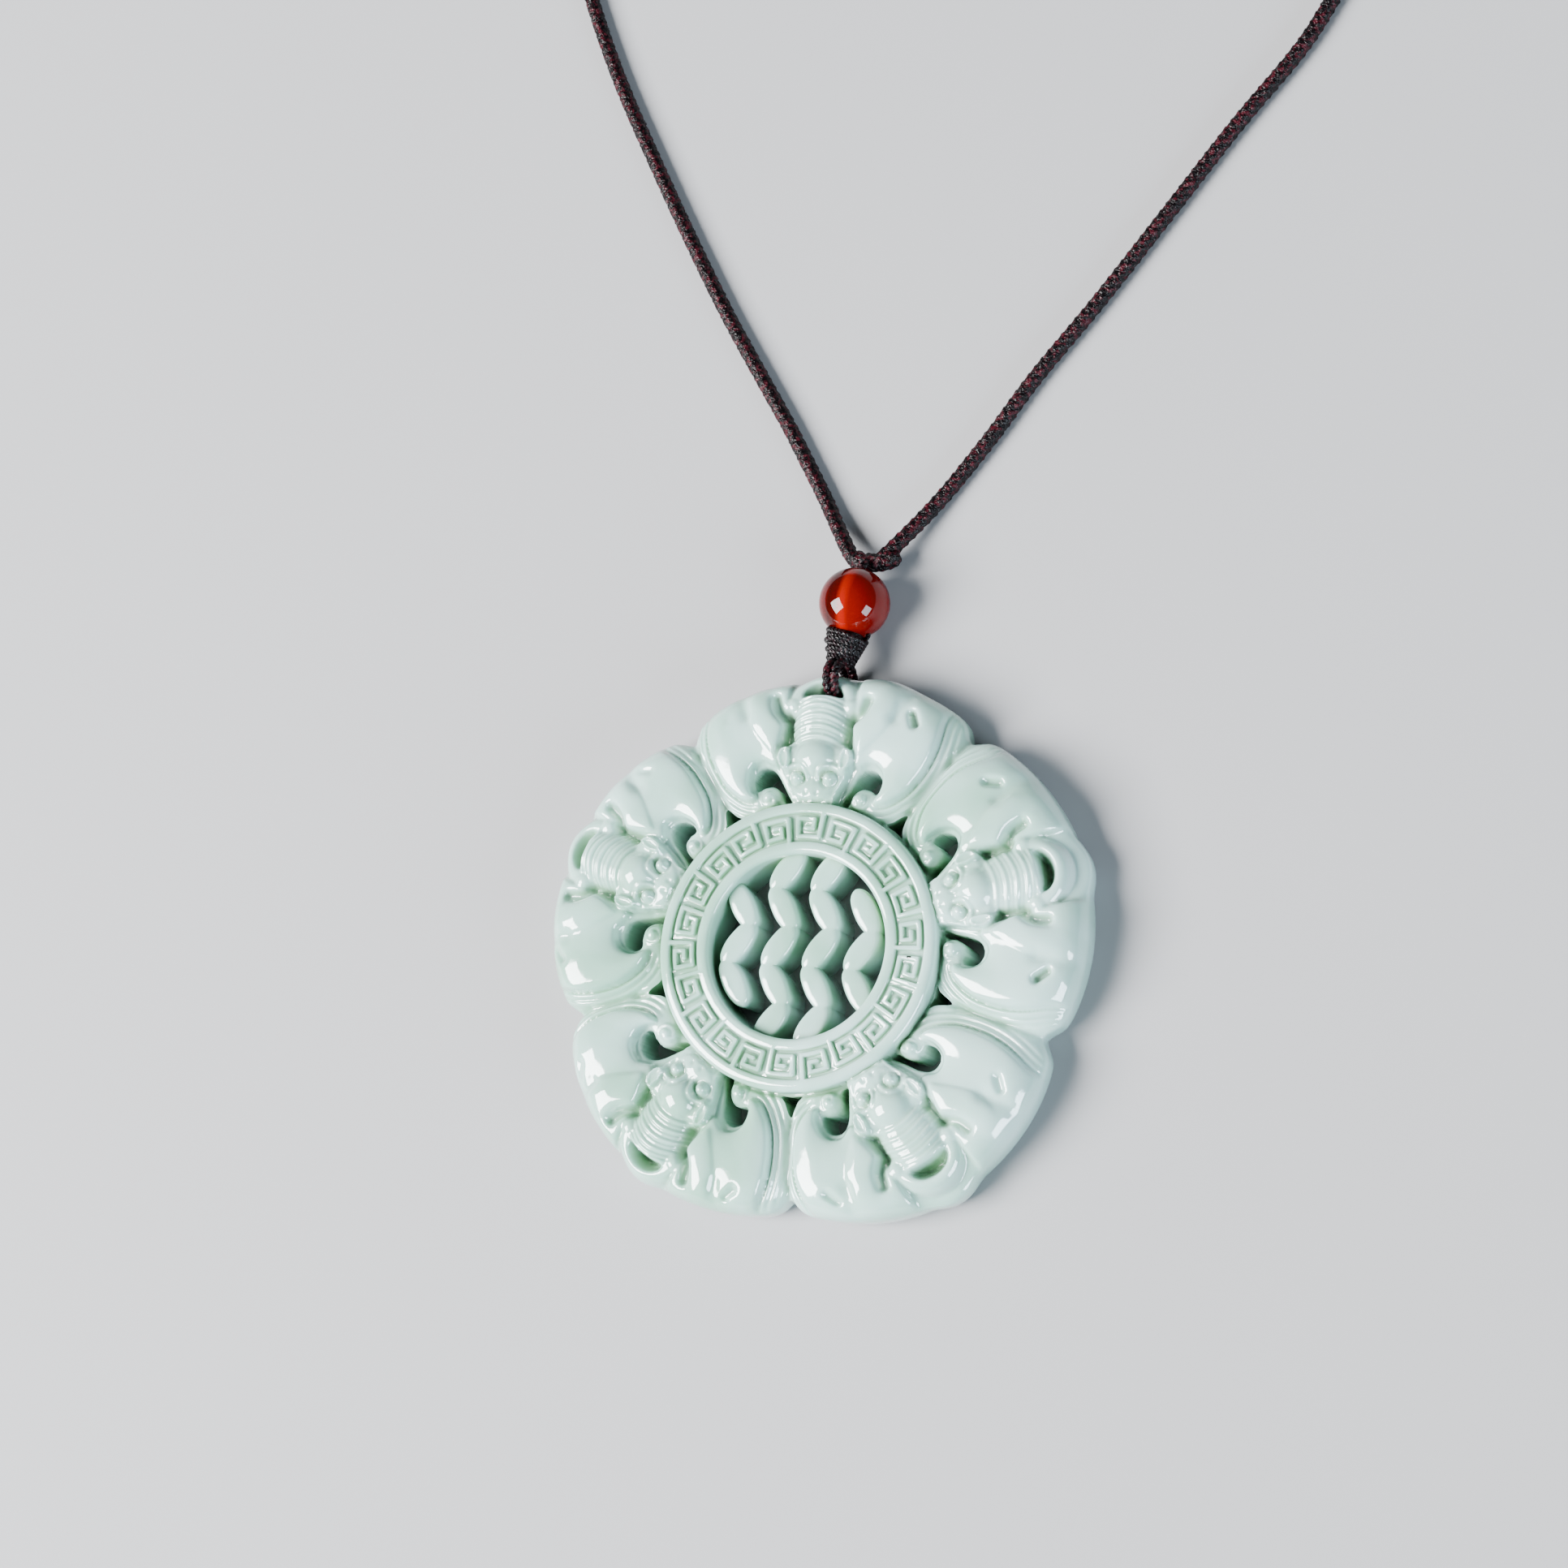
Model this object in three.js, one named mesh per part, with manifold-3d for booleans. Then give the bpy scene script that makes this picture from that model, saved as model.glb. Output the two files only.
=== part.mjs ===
// A carved stone pendant lying on its back: five bats round a fret ring with an openwork centre,
// and above it a woven wrap, an agate bead and the braided necklace cord that it hangs on.
// Millimetres. +Z is the carved face, +Y runs from the pendant's centre to the bead.
import * as THREE from 'three';
import { mergeVertices } from 'three/addons/utils/BufferGeometryUtils.js';
import Module from 'manifold-3d';

const wasm = await Module();
wasm.setup();

// Pendant body
const LOBE_CENTRE = 8.0;
const LOBE_RADIUS = 16.6;
const CREST_CENTRE = 21.8;
const CREST_RADIUS = 3.4;
const NOTCH_DEPTH = 0.9;
const NOTCH_WIDTH_DEG = 2.6;
const FIELD_HEIGHT = 3.9;
const EDGE_ROUND = 1.0;
const OUTLINE_POINTS = 60;
const BAT_AZIMUTHS_DEG = [90.8, 160.3, 238.1, 308.4, 380.3];

// How far the slab spreads beyond the relief's outline, at each bat and half way to the next
const SPREAD_AT_BATS = [0, 0.3, 0.2, 1.35, 1.7];
const SPREAD_AT_NOTCHES = [0.9, 0.9, 0.6, 2.0, 2.0];

// Ring with the fret, and the opening inside it
const RING_OUTER_RADIUS = 13.0;
const RING_INNER_RADIUS = 8.3;
const RING_HEIGHT = 6.1;
const RING_BORDER_WIDTH = 1.0;
const RING_SHOULDER = 0.45;
const FRET_DEPTH = 0.35;
const FRET_COUNT = 22;
const FRET_LINES_DEEP = 7;
const FRET_GAP = 0.8;

// Openwork strokes in the opening
const STROKE_HEIGHT = 5.1;
const STROKE_BACK = 0.6;
const STROKE_WIDTH = 2.3;
const STROKE_LENGTH = 4.9;
const STROKE_PITCH = 3.9;
const STROKE_OVERLAP = 0.7;
const STROKE_LEAN_DEG = 32;

// Relief of a bat: the foot of its raised forms, inside the field, and their heights
const RELIEF_FOOT = 2.0;
const WING_HEIGHT = 5.3;
const PETAL_HEIGHT = 6.0;
const HEAD_HEIGHT = 7.0;
const ABDOMEN_HEIGHT = 6.7;
const ABDOMEN_LOW = 18.2;
const ABDOMEN_RADIUS = 2.35;
const RING_GROOVE = 0.3;
const TAIL_WIDTH = 1.5;
const TAIL_OPEN_DEG = 75;
const TAIL_ROUND = 0.5;
const LIP_RADIUS = 0.5;
const CURL_RADIUS = 1.0;
const CURL_HEIGHT = 5.4;

// Bail: the top bat's tail loop, which the hanging cord goes round
const HANG_HOLE_LOW = 22.4;
const HANG_HOLE_HIGH = 24.0;
const HANG_HOLE_WIDTH = 3.2;
const BAIL_RELIEF_DEPTH = 1.7;
const BAIL_RELIEF_WIDTH = 2.8;
const BAIL_TOP = 5.05;
const LOOP_SIDE = 0.35;

// Things on the cord
const GAP = 0.3;
const BEAD_RADIUS = 3.25;
const BEAD_DISTANCE = 32.1;
const BEAD_SIDE = 0.85;
const BORE_FOOT_X = 0.15;
const BORE_FOOT_Y = 26.2;
const THREAD_RADIUS = 0.5;
const CORE_RADIUS = 0.55;
const WRAP_TOP_RADIUS = 1.8;
const WRAP_FOOT_RADIUS = 1.25;
const WRAP_LENGTH = 2.55;
const wrapTop = BEAD_RADIUS - 0.55;
const WRAP_THREADS = 3;
const KNOT_RADIUS = 1.0;
const KNOT_HALF_LENGTH = 1.9;
const KNOT_DISTANCE = BEAD_RADIUS + GAP + KNOT_RADIUS;
const KNOT_SHIFT = 0.35;
const KNOT_TURN_DEG = 4;
const KNOT_HEIGHT = 2.0;

// Necklace cord
const CORD_DIAMETER = 1.5;
const COIL_TURNS_ACROSS = 4;
const COIL_LAYERS = 2;
const COIL_MEAN_RADIUS = 8.5;
const COIL_X = 2.0;
const COIL_Y = 108.0;

const rad = THREE.MathUtils.degToRad;

// Geometry to solid and back

function solidOf(geometry) {
  const bare = geometry.clone();
  bare.deleteAttribute('normal');
  bare.deleteAttribute('uv');
  const merged = mergeVertices(bare, 1e-4);
  const index = merged.index.array;
  const triangles = [];
  for (let i = 0; i < index.length; i += 3) {
    const [a, b, c] = [index[i], index[i + 1], index[i + 2]];
    if (a !== b && b !== c && c !== a) triangles.push(a, b, c);
  }
  const mesh = new wasm.Mesh({
    numProp: 3,
    vertProperties: new Float32Array(merged.attributes.position.array),
    triVerts: new Uint32Array(triangles),
  });
  return new wasm.Manifold(mesh);
}

function geometryOf(solid) {
  const mesh = solid.getMesh();
  const geometry = new THREE.BufferGeometry();
  geometry.setAttribute('position', new THREE.BufferAttribute(mesh.vertProperties, 3));
  geometry.setIndex(new THREE.BufferAttribute(mesh.triVerts, 1));
  geometry.computeVertexNormals();
  return geometry;
}

function join(solids) {
  return solids.reduce((whole, next) => whole.add(next));
}

// Simple forms

// A soft raised form over a closed outline: flat below, crowned above, steep at its edge.
const CROWN = [[0, 0], [1, 0], [1, 0.35], [0.78, 0.85], [0, 1]];
const LOW_CROWN = [[0, 0], [1, 0], [0.92, 0.8], [0, 1]];

function pillow(outline, centre, base, top, segments, crown = CROWN) {
  const profile = crown.map(([r, h]) => new THREE.Vector2(r, base + (top - base) * h));
  const geometry = new THREE.LatheGeometry(profile, segments);
  const curve = new THREE.CatmullRomCurve3(
    outline.map(([x, y]) => new THREE.Vector3(x, y, 0)), true, 'centripetal');
  const rim = curve.getSpacedPoints(segments);
  const turning = THREE.ShapeUtils.area(rim.slice(0, segments));
  if (turning < 0) rim.reverse();
  const position = geometry.attributes.position;
  for (let i = 0; i <= segments; i += 1) {
    for (let j = 0; j < profile.length; j += 1) {
      const reach = profile[j].x;
      const x = centre[0] + (rim[i % segments].x - centre[0]) * reach;
      const y = centre[1] + (rim[i % segments].y - centre[1]) * reach;
      position.setXYZ(i * profile.length + j, x, y, profile[j].y);
    }
  }
  return solidOf(geometry);
}

function circle(x, y, radius) {
  return [0, 1, 2, 3, 4, 5, 6, 7].map((i) => [
    x + radius * Math.cos(Math.PI * i / 4), y + radius * Math.sin(Math.PI * i / 4),
  ]);
}

function ellipsoid(x, y, z, a, b, c, turnDeg = 0, segments = 6, rings = 3) {
  const geometry = new THREE.SphereGeometry(1, segments, rings);
  geometry.rotateX(Math.PI / 2).scale(a, b, c).rotateZ(rad(turnDeg)).translate(x, y, z);
  return solidOf(geometry);
}

function prism(outline, low, high) {
  const shape = new THREE.Shape(outline.map(([x, y]) => new THREE.Vector2(x, y)));
  const geometry = new THREE.ExtrudeGeometry(shape, { depth: high - low, bevelEnabled: false });
  return solidOf(geometry.translate(0, 0, low));
}

function rod(points, radius, steps, sides, closed = false) {
  const path = new THREE.CatmullRomCurve3(
    points.map(([x, y, z]) => new THREE.Vector3(x, y, z)), closed, 'centripetal');
  const section = new THREE.Shape();
  for (let i = 0; i < sides; i += 1) {
    const angle = (i + 0.5) * 2 * Math.PI / sides;
    const corner = [radius * Math.cos(angle), radius * Math.sin(angle)];
    if (i === 0) section.moveTo(...corner);
    else section.lineTo(...corner);
  }
  section.closePath();
  return new THREE.ExtrudeGeometry(section, { steps, extrudePath: path, bevelEnabled: false });
}

function pin(x, y, radius, low, high, segments) {
  const geometry = new THREE.CylinderGeometry(radius, radius, high - low, segments);
  return solidOf(geometry.rotateX(Math.PI / 2).translate(x, y, (low + high) / 2));
}

function turned(solid, azimuthDeg) {
  return solidOf(geometryOf(solid).rotateZ(rad(azimuthDeg - 90)));
}

// Outline of the pendant: five lobes, each an arc with a small crest where a tail loop stands
// out, and a notch half way to each neighbour.

function circleReach(distance, radius, angle) {
  const along = distance * Math.cos(angle);
  const under = radius * radius - (distance * Math.sin(angle)) ** 2;
  return under > 0 ? along + Math.sqrt(under) : 0;
}

// The bat and the notch that an azimuth lies between, and its angles to both.
function placeAround(azimuth) {
  const count = BAT_AZIMUTHS_DEG.length;
  for (let i = 0; i < count; i += 1) {
    const here = BAT_AZIMUTHS_DEG[i];
    const span = (i + 1 < count ? BAT_AZIMUTHS_DEG[i + 1] : BAT_AZIMUTHS_DEG[0] + 360) - here;
    const past = THREE.MathUtils.euclideanModulo(azimuth - here, 360);
    if (past < span / 2) return { bat: i, notch: i, toBat: past, toNotch: span / 2 - past };
    if (past < span) return { bat: (i + 1) % count, notch: i, toBat: span - past, toNotch: past - span / 2 };
  }
  return null;
}

function lobedReach(azimuth) {
  const { toBat, toNotch } = placeAround(azimuth);
  const lobe = circleReach(LOBE_CENTRE, LOBE_RADIUS, rad(toBat));
  const crest = circleReach(CREST_CENTRE, CREST_RADIUS, rad(toBat));
  return Math.max(lobe, crest) - NOTCH_DEPTH * Math.exp(-((toNotch / NOTCH_WIDTH_DEG) ** 2));
}

function slabReach(azimuth) {
  const { bat, notch, toBat, toNotch } = placeAround(azimuth);
  const share = THREE.MathUtils.smoothstep(toBat, 0, toBat + toNotch);
  const spread = THREE.MathUtils.lerp(SPREAD_AT_BATS[bat], SPREAD_AT_NOTCHES[notch], share);
  return lobedReach(azimuth) + spread;
}

function slabOutline(segments) {
  const points = [];
  for (let i = 0; i < segments; i += 1) {
    const azimuth = 360 * i / segments;
    const reach = slabReach(azimuth);
    points.push([reach * Math.cos(rad(azimuth)), reach * Math.sin(rad(azimuth))]);
  }
  return points;
}

function slab() {
  const shape = new THREE.Shape(slabOutline(OUTLINE_POINTS).map(([x, y]) => new THREE.Vector2(x, y)));
  const geometry = new THREE.ExtrudeGeometry(shape, {
    depth: FIELD_HEIGHT - 2 * EDGE_ROUND,
    bevelThickness: EDGE_ROUND,
    bevelSize: EDGE_ROUND,
    bevelOffset: -EDGE_ROUND,
    bevelSegments: 1,
  });
  return solidOf(geometry.translate(0, 0, EDGE_ROUND));
}

// One bat, drawn with its head at the ring and its tail on +Y. side is -1 or 1 for its two halves.

const WING_ROOT = 13.0;
const WING_RIM = 24.6;
const WING_OUTLINE = [
  [3.4, 16.9], [5.2, 16.7], [6.1, 15.6], [5.7, 13.6], [6.8, 12.9], [8.6, 13.4], [10.2, 15.0],
  [11.3, 17.0], [11.4, 18.8], [9.8, 20.3], [7.4, 21.9], [4.6, 22.6], [3.4, 20.0],
];
const PETAL_OUTLINE = [
  [4.1, 16.9], [5.6, 18.0], [7.0, 19.4], [7.6, 21.0], [7.1, 22.2], [5.6, 23.3], [4.3, 23.4],
  [4.6, 22.3], [3.5, 20.8], [2.9, 19.6], [3.3, 17.8],
];
const LIP_PATH = [
  [5.3, 13.6], [5.0, 12.9], [6.0, 12.5], [7.6, 12.7], [9.2, 13.7], [10.6, 15.6], [11.7, 17.9],
];
const HEAD_OUTLINE = [
  [0, 12.9], [1.6, 13.0], [2.2, 14.0], [3.0, 15.6], [3.3, 17.2], [2.4, 18.5], [0, 18.9],
  [-2.4, 18.5], [-3.3, 17.2], [-3.0, 15.6], [-2.2, 14.0], [-1.6, 13.0],
];

function mirrored(outline, side) {
  return outline.map(([x, y]) => [side * x, y]);
}

// The wings grow with the stone between the ring and the lobe's rim.
function spanned([x, y]) {
  const grow = (LOBE_CENTRE + LOBE_RADIUS - RING_OUTER_RADIUS) / (WING_RIM - WING_ROOT);
  return [x * grow, RING_OUTER_RADIUS + (y - WING_ROOT) * grow];
}

function abdomen() {
  const rings = 4;
  const [low, high] = [ABDOMEN_LOW, HANG_HOLE_LOW];
  const pitch = (high - low) / rings;
  const profile = [new THREE.Vector2(0, low)];
  for (let i = 0; i < rings; i += 1) {
    profile.push(new THREE.Vector2(ABDOMEN_RADIUS - RING_GROOVE, low + pitch * i));
    profile.push(new THREE.Vector2(ABDOMEN_RADIUS, low + pitch * (i + 0.6)));
  }
  profile.push(new THREE.Vector2(ABDOMEN_RADIUS - RING_GROOVE, high), new THREE.Vector2(0, high));
  const geometry = new THREE.LatheGeometry(profile, 8);
  const swell = (ABDOMEN_HEIGHT - FIELD_HEIGHT) / ABDOMEN_RADIUS;
  return solidOf(geometry.scale(1, 1, swell).translate(0, 0, FIELD_HEIGHT));
}

// A thick C round the tail hollow, with round ends beside the abdomen.
function tail() {
  const shape = new THREE.Shape();
  const inner = CREST_RADIUS - TAIL_WIDTH;
  const [left, right] = [rad(TAIL_OPEN_DEG - 90), rad(270 - TAIL_OPEN_DEG)];
  shape.absarc(0, CREST_CENTRE, CREST_RADIUS, left, right, false);
  const foot = (CREST_RADIUS + inner) / 2;
  shape.absarc(foot * Math.cos(right), CREST_CENTRE + foot * Math.sin(right), TAIL_WIDTH / 2,
    right, right + Math.PI, false);
  shape.absarc(0, CREST_CENTRE, inner, right, left, true);
  shape.absarc(foot * Math.cos(left), CREST_CENTRE + foot * Math.sin(left), TAIL_WIDTH / 2,
    left + Math.PI, left + 2 * Math.PI, false);
  const geometry = new THREE.ExtrudeGeometry(shape, {
    depth: BAIL_TOP - EDGE_ROUND - 1,
    curveSegments: 3,
    bevelThickness: TAIL_ROUND,
    bevelSize: TAIL_ROUND,
    bevelOffset: -TAIL_ROUND,
    bevelSegments: 1,
  });
  return solidOf(geometry.translate(0, 0, 1 + EDGE_ROUND - TAIL_ROUND));
}

function bat() {
  const parts = [abdomen(), tail(), pillow(HEAD_OUTLINE, [0, 16.2], RELIEF_FOOT, HEAD_HEIGHT, 12)];
  for (const side of [-1, 1]) {
    const petal = mirrored(PETAL_OUTLINE, side).map(spanned);
    parts.push(pillow(petal, spanned([side * 5.2, 20.3]), RELIEF_FOOT, PETAL_HEIGHT, 10));
    const lip = mirrored(LIP_PATH, side).map(spanned).map(([x, y]) => [x, y, FIELD_HEIGHT + 0.9]);
    parts.push(solidOf(rod(lip, LIP_RADIUS, 5, 4)));
    const curl = spanned([side * 4.4, 13.5]);
    parts.push(pillow(circle(...curl, CURL_RADIUS), curl, RELIEF_FOOT, CURL_HEIGHT, 6, LOW_CROWN));
  }
  return join(parts);
}

function wings() {
  const parts = [];
  for (const side of [-1, 1]) {
    const wing = mirrored(WING_OUTLINE, side).map(spanned);
    parts.push(pillow(wing, spanned([side * 7.8, 17.6]), RELIEF_FOOT, WING_HEIGHT, 13));
  }
  return join(parts);
}

// Holes right through beside a bat's head, and the hollow inside its tail loop.

function batHoles() {
  const cuts = [];
  for (const side of [-1, 1]) {
    cuts.push(pin(side * 4.75, 15.2, 1.2, -1, 9, 9));
    const gill = [[4.2, 15.8], [3.4, 16.0], [2.1, 13.3], [2.9, 12.9]];
    cuts.push(prism(mirrored(gill, side), -1, 9));
  }
  return join(cuts);
}

function tailHollow() {
  return ellipsoid(0, 23.3, 5.1, HANG_HOLE_WIDTH / 2, 0.8, 2.2, 0, 8, 4);
}

function cornerHole() {
  const [low, high, half] = [RING_OUTER_RADIUS + 0.1, RING_OUTER_RADIUS + 1.7, 0.9];
  return prism([[-half, low], [half, low], [0.15, high], [-0.15, high]], -1, 9);
}

// The ring, with its fret of square spirals turned up and down by turns.

function ring() {
  const floor = RING_HEIGHT - FRET_DEPTH;
  const [inner, outer] = [RING_INNER_RADIUS, RING_OUTER_RADIUS];
  const section = [
    [inner, STROKE_BACK], [outer, STROKE_BACK], [outer, RING_HEIGHT - RING_SHOULDER],
    [outer - RING_SHOULDER, RING_HEIGHT], [outer - RING_BORDER_WIDTH, RING_HEIGHT],
    [outer - RING_BORDER_WIDTH, floor], [inner + RING_BORDER_WIDTH, floor],
    [inner + RING_BORDER_WIDTH, RING_HEIGHT], [inner, RING_HEIGHT - RING_SHOULDER],
    [inner, STROKE_BACK],
  ];
  const profile = section.map(([r, h]) => new THREE.Vector2(r, h));
  const geometry = new THREE.LatheGeometry(profile, 2 * FRET_COUNT);
  return solidOf(geometry.rotateX(Math.PI / 2));
}

function fret() {
  const middle = (RING_INNER_RADIUS + RING_OUTER_RADIUS) / 2;
  const deep = RING_OUTER_RADIUS - RING_INNER_RADIUS - 2 * RING_BORDER_WIDTH + GAP;
  const [w, h] = [Math.PI * middle / FRET_COUNT - FRET_GAP / 2, deep / 2];
  const t = deep / FRET_LINES_DEEP;
  const low = 2 * t - h;
  const outline = [
    [w - t, -h], [w, -h], [w, h - t / 2], [-w, h - t / 2], [-w, low], [0.35 * w, low],
    [0.35 * w, 0.3 * t], [0.35 * w - t, low + t], [-w + t, low + t],
    [-w + t, h - 1.5 * t], [w - t, h - 1.5 * t],
  ];
  const frets = [];
  for (let i = 0; i < FRET_COUNT; i += 1) {
    const flip = i % 2 ? -1 : 1;
    const placed = outline.map(([x, y]) => [x, middle + flip * y]);
    const one = prism(placed, RING_HEIGHT - FRET_DEPTH - 0.3, RING_HEIGHT - 0.03);
    frets.push(turned(one, 90 + (i + 0.5) * 360 / FRET_COUNT));
  }
  return join(frets);
}

// Rows of leaning brush dabs. Each row leans the other way, so that the dabs meet end to end
// and the outermost ones run into the ring.

function dab(x, y, leanDeg) {
  const [half, wide] = [STROKE_LENGTH / 2, STROKE_WIDTH / 2];
  const outline = [
    [0, -half], [0.75 * wide, -0.7 * half], [wide, 0.1 * half], [0.7 * wide, 0.75 * half],
    [0, half], [-0.75 * wide, 0.7 * half], [-wide, -0.1 * half], [-0.7 * wide, -0.75 * half],
  ];
  const lean = rad(leanDeg);
  const placed = outline.map(([u, v]) => [
    x + u * Math.cos(lean) - v * Math.sin(lean),
    y + u * Math.sin(lean) + v * Math.cos(lean),
  ]);
  return pillow(placed, [x, y], STROKE_BACK, STROKE_HEIGHT, 8, LOW_CROWN);
}

function openwork() {
  const rise = STROKE_LENGTH * Math.cos(rad(STROKE_LEAN_DEG)) - STROKE_OVERLAP;
  const dabs = [];
  for (let row = -2; row <= 2; row += 1) {
    const lean = row % 2 ? STROKE_LEAN_DEG : -STROKE_LEAN_DEG;
    for (let k = -1.5; k <= 1.5; k += 1) {
      const [x, y] = [k * STROKE_PITCH, row * rise];
      if (Math.hypot(x, y) < RING_INNER_RADIUS) dabs.push(dab(x, y, lean));
    }
  }
  return join(dabs);
}

function pendant() {
  const around = (solid) => BAT_AZIMUTHS_DEG.map((azimuth) => turned(solid, azimuth));
  const corners = BAT_AZIMUTHS_DEG.map((azimuth, i) => {
    const next = BAT_AZIMUTHS_DEG[(i + 1) % 5] + (i === 4 ? 360 : 0);
    return turned(cornerHole(), (azimuth + next) / 2);
  });
  const opening = pin(0, 0, RING_INNER_RADIUS + 0.5, -1, 9, 2 * FRET_COUNT);
  const holes = join([...around(batHoles()), ...corners, opening]);
  const body = join([slab(), ...around(wings())]).subtract(holes);
  const carved = join([body, ...around(bat()), ring(), openwork()]).add(fret());
  const hollows = join(around(tailHollow()));
  const [half, shoulder] = [HANG_HOLE_WIDTH / 2, HANG_HOLE_LOW + 0.9];
  const hangHole = prism([
    [-half, HANG_HOLE_LOW], [half, HANG_HOLE_LOW], [half, shoulder],
    [half - 0.5, HANG_HOLE_HIGH], [0.5 - half, HANG_HOLE_HIGH], [-half, shoulder],
  ], -1, 9);
  const relief = solidOf(new THREE.BoxGeometry(BAIL_RELIEF_WIDTH, 6, 2 * BAIL_RELIEF_DEPTH)
    .translate(0.4, HANG_HOLE_LOW + 3, 0));
  const bail = join([hangHole, relief]);
  return carved.subtract(hollows).subtract(turned(bail, BAT_AZIMUTHS_DEG[0]));
}

const BORE_RADIUS = (CORE_RADIUS + GAP) / Math.cos(Math.PI / 8);

// Along the bead's bore: a point that far from the bead's centre towards the pendant.
const boreFoot = new THREE.Vector2(BORE_FOOT_X, BORE_FOOT_Y);
const beadCentre = new THREE.Vector2(BEAD_SIDE, BEAD_DISTANCE);
const boreWay = boreFoot.clone().sub(beadCentre).normalize();
const boreTurnDeg = THREE.MathUtils.radToDeg(Math.atan2(boreWay.y, boreWay.x)) + 90;

function along(distance) {
  return beadCentre.clone().addScaledVector(boreWay, distance);
}

// A solid turned about +Y, laid on the bore's line with its origin at the bead's centre.
function onBore(geometry) {
  return geometry.rotateZ(rad(boreTurnDeg)).translate(beadCentre.x, beadCentre.y, BEAD_RADIUS);
}

function bead() {
  const ball = solidOf(onBore(new THREE.SphereGeometry(BEAD_RADIUS, 12, 8)));
  const bore = new THREE.CylinderGeometry(BORE_RADIUS, BORE_RADIUS, 3 * BEAD_RADIUS, 8);
  return ball.subtract(solidOf(onBore(bore)));
}

function wovenWrap() {
  const foot = -(wrapTop + WRAP_LENGTH);
  const pitch = WRAP_LENGTH / WRAP_THREADS;
  const profile = [new THREE.Vector2(BORE_RADIUS, foot)];
  for (let i = 0; i <= WRAP_THREADS; i += 1) {
    const share = i / WRAP_THREADS;
    const radius = WRAP_FOOT_RADIUS + (WRAP_TOP_RADIUS - WRAP_FOOT_RADIUS) * share;
    profile.push(new THREE.Vector2(radius - 0.12, foot + pitch * i));
    if (i < WRAP_THREADS) profile.push(new THREE.Vector2(radius + 0.06, foot + pitch * (i + 0.5)));
  }
  profile.push(new THREE.Vector2(BORE_RADIUS, -wrapTop), profile[0].clone());
  const sleeve = solidOf(onBore(new THREE.LatheGeometry(profile, 8)));
  const seat = solidOf(onBore(new THREE.SphereGeometry(BEAD_RADIUS + GAP, 12, 8)));
  return sleeve.subtract(seat);
}

// The thin cord: a loop round the bail, a core up through wrap and bead, and a knot above.
function hangingCord() {
  const [low, high] = [0.2 + THREAD_RADIUS, BAIL_TOP + GAP + THREAD_RADIUS];
  const hole = (HANG_HOLE_LOW + HANG_HOLE_HIGH) / 2;
  const rim = lobedReach(BAT_AZIMUTHS_DEG[0]) + GAP + THREAD_RADIUS;
  const x = LOOP_SIDE;
  const ringPath = [
    [x, rim + 0.1, BEAD_RADIUS], [x, rim + 0.05, high - 1.5], [x, rim - 0.6, high - 0.35],
    [x, (rim + hole) / 2 - 0.1, high], [x, hole + 0.15, high - 0.3], [x, hole - 0.05, high - 1.5],
    [x, hole, low + 1.6], [x, hole + 0.35, low + 0.4], [x, (rim + hole) / 2, low],
    [x, rim - 0.6, low + 0.25], [x, rim + 0.05, low + 1.4],
  ];
  const loop = solidOf(rod(ringPath, THREAD_RADIUS, 16, 5, true));
  const foot = along(beadCentre.y - rim - 0.1);
  const neck = along(1 - BEAD_RADIUS);
  const mouth = along(-BEAD_RADIUS);
  const top = along(-KNOT_DISTANCE);
  const corePath = [
    [foot.x, foot.y, BEAD_RADIUS], [neck.x, neck.y, BEAD_RADIUS],
    [mouth.x, mouth.y, BEAD_RADIUS], [top.x, top.y, KNOT_HEIGHT],
  ];
  const core = solidOf(rod(corePath, CORE_RADIUS, 6, 6));
  return join([loop, core, knot()]);
}

function knot() {
  const top = along(-KNOT_DISTANCE);
  const geometry = new THREE.CapsuleGeometry(KNOT_RADIUS, 2 * (KNOT_HALF_LENGTH - KNOT_RADIUS), 2, 8);
  geometry.rotateZ(rad(-90 + KNOT_TURN_DEG));
  return solidOf(geometry.translate(top.x + KNOT_SHIFT, top.y, KNOT_HEIGHT));
}

// The necklace cord. Its points are the way that it lies, from the knot to the coil on either side.

const LEFT_ROUTE = [
  [-0.6, 37.1, 1.85], [-2.6, 40.2, 1.1], [-4.4, 43.2, 0.75], [-6.3, 46.2, 0.75], [-8.6, 49.8, 0.75],
  [-11.5, 54.0, 0.75], [-16.4, 61.2, 0.75], [-21.5, 69.4, 0.75], [-26.3, 77.5, 0.75],
  [-31.0, 85.8, 0.75], [-35.1, 94.3, 0.75], [-36.6, 98.8, 0.75], [-35.6, 103.0, 0.75],
  [-32.0, 105.2, 0.75], [-27.0, 104.6, 0.75], [-21.5, 102.2, 0.75], [-15.5, 99.6, 0.75],
  [-9.5, 97.9, 0.75], [-4.3, 97.25, 0.75],
];
const RIGHT_ROUTE = [
  [8.3, 97.25, 2.2], [12.5, 97.4, 1.6], [17.0, 98.2, 0.9], [22.0, 99.6, 0.75], [27.5, 101.6, 0.75],
  [33.0, 103.2, 0.75], [38.0, 102.6, 0.75], [41.0, 99.2, 0.75], [41.2, 94.8, 0.75],
  [39.2, 90.4, 0.75], [36.6, 85.6, 0.75], [31.5, 78.6, 0.75], [26.0, 70.4, 0.75],
  [20.2, 61.8, 0.75], [15.0, 54.6, 0.75], [11.6, 49.2, 0.75], [8.6, 44.8, 0.75],
  [6.1, 41.3, 1.1], [3.5, 37.8, 1.9],
];

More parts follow.
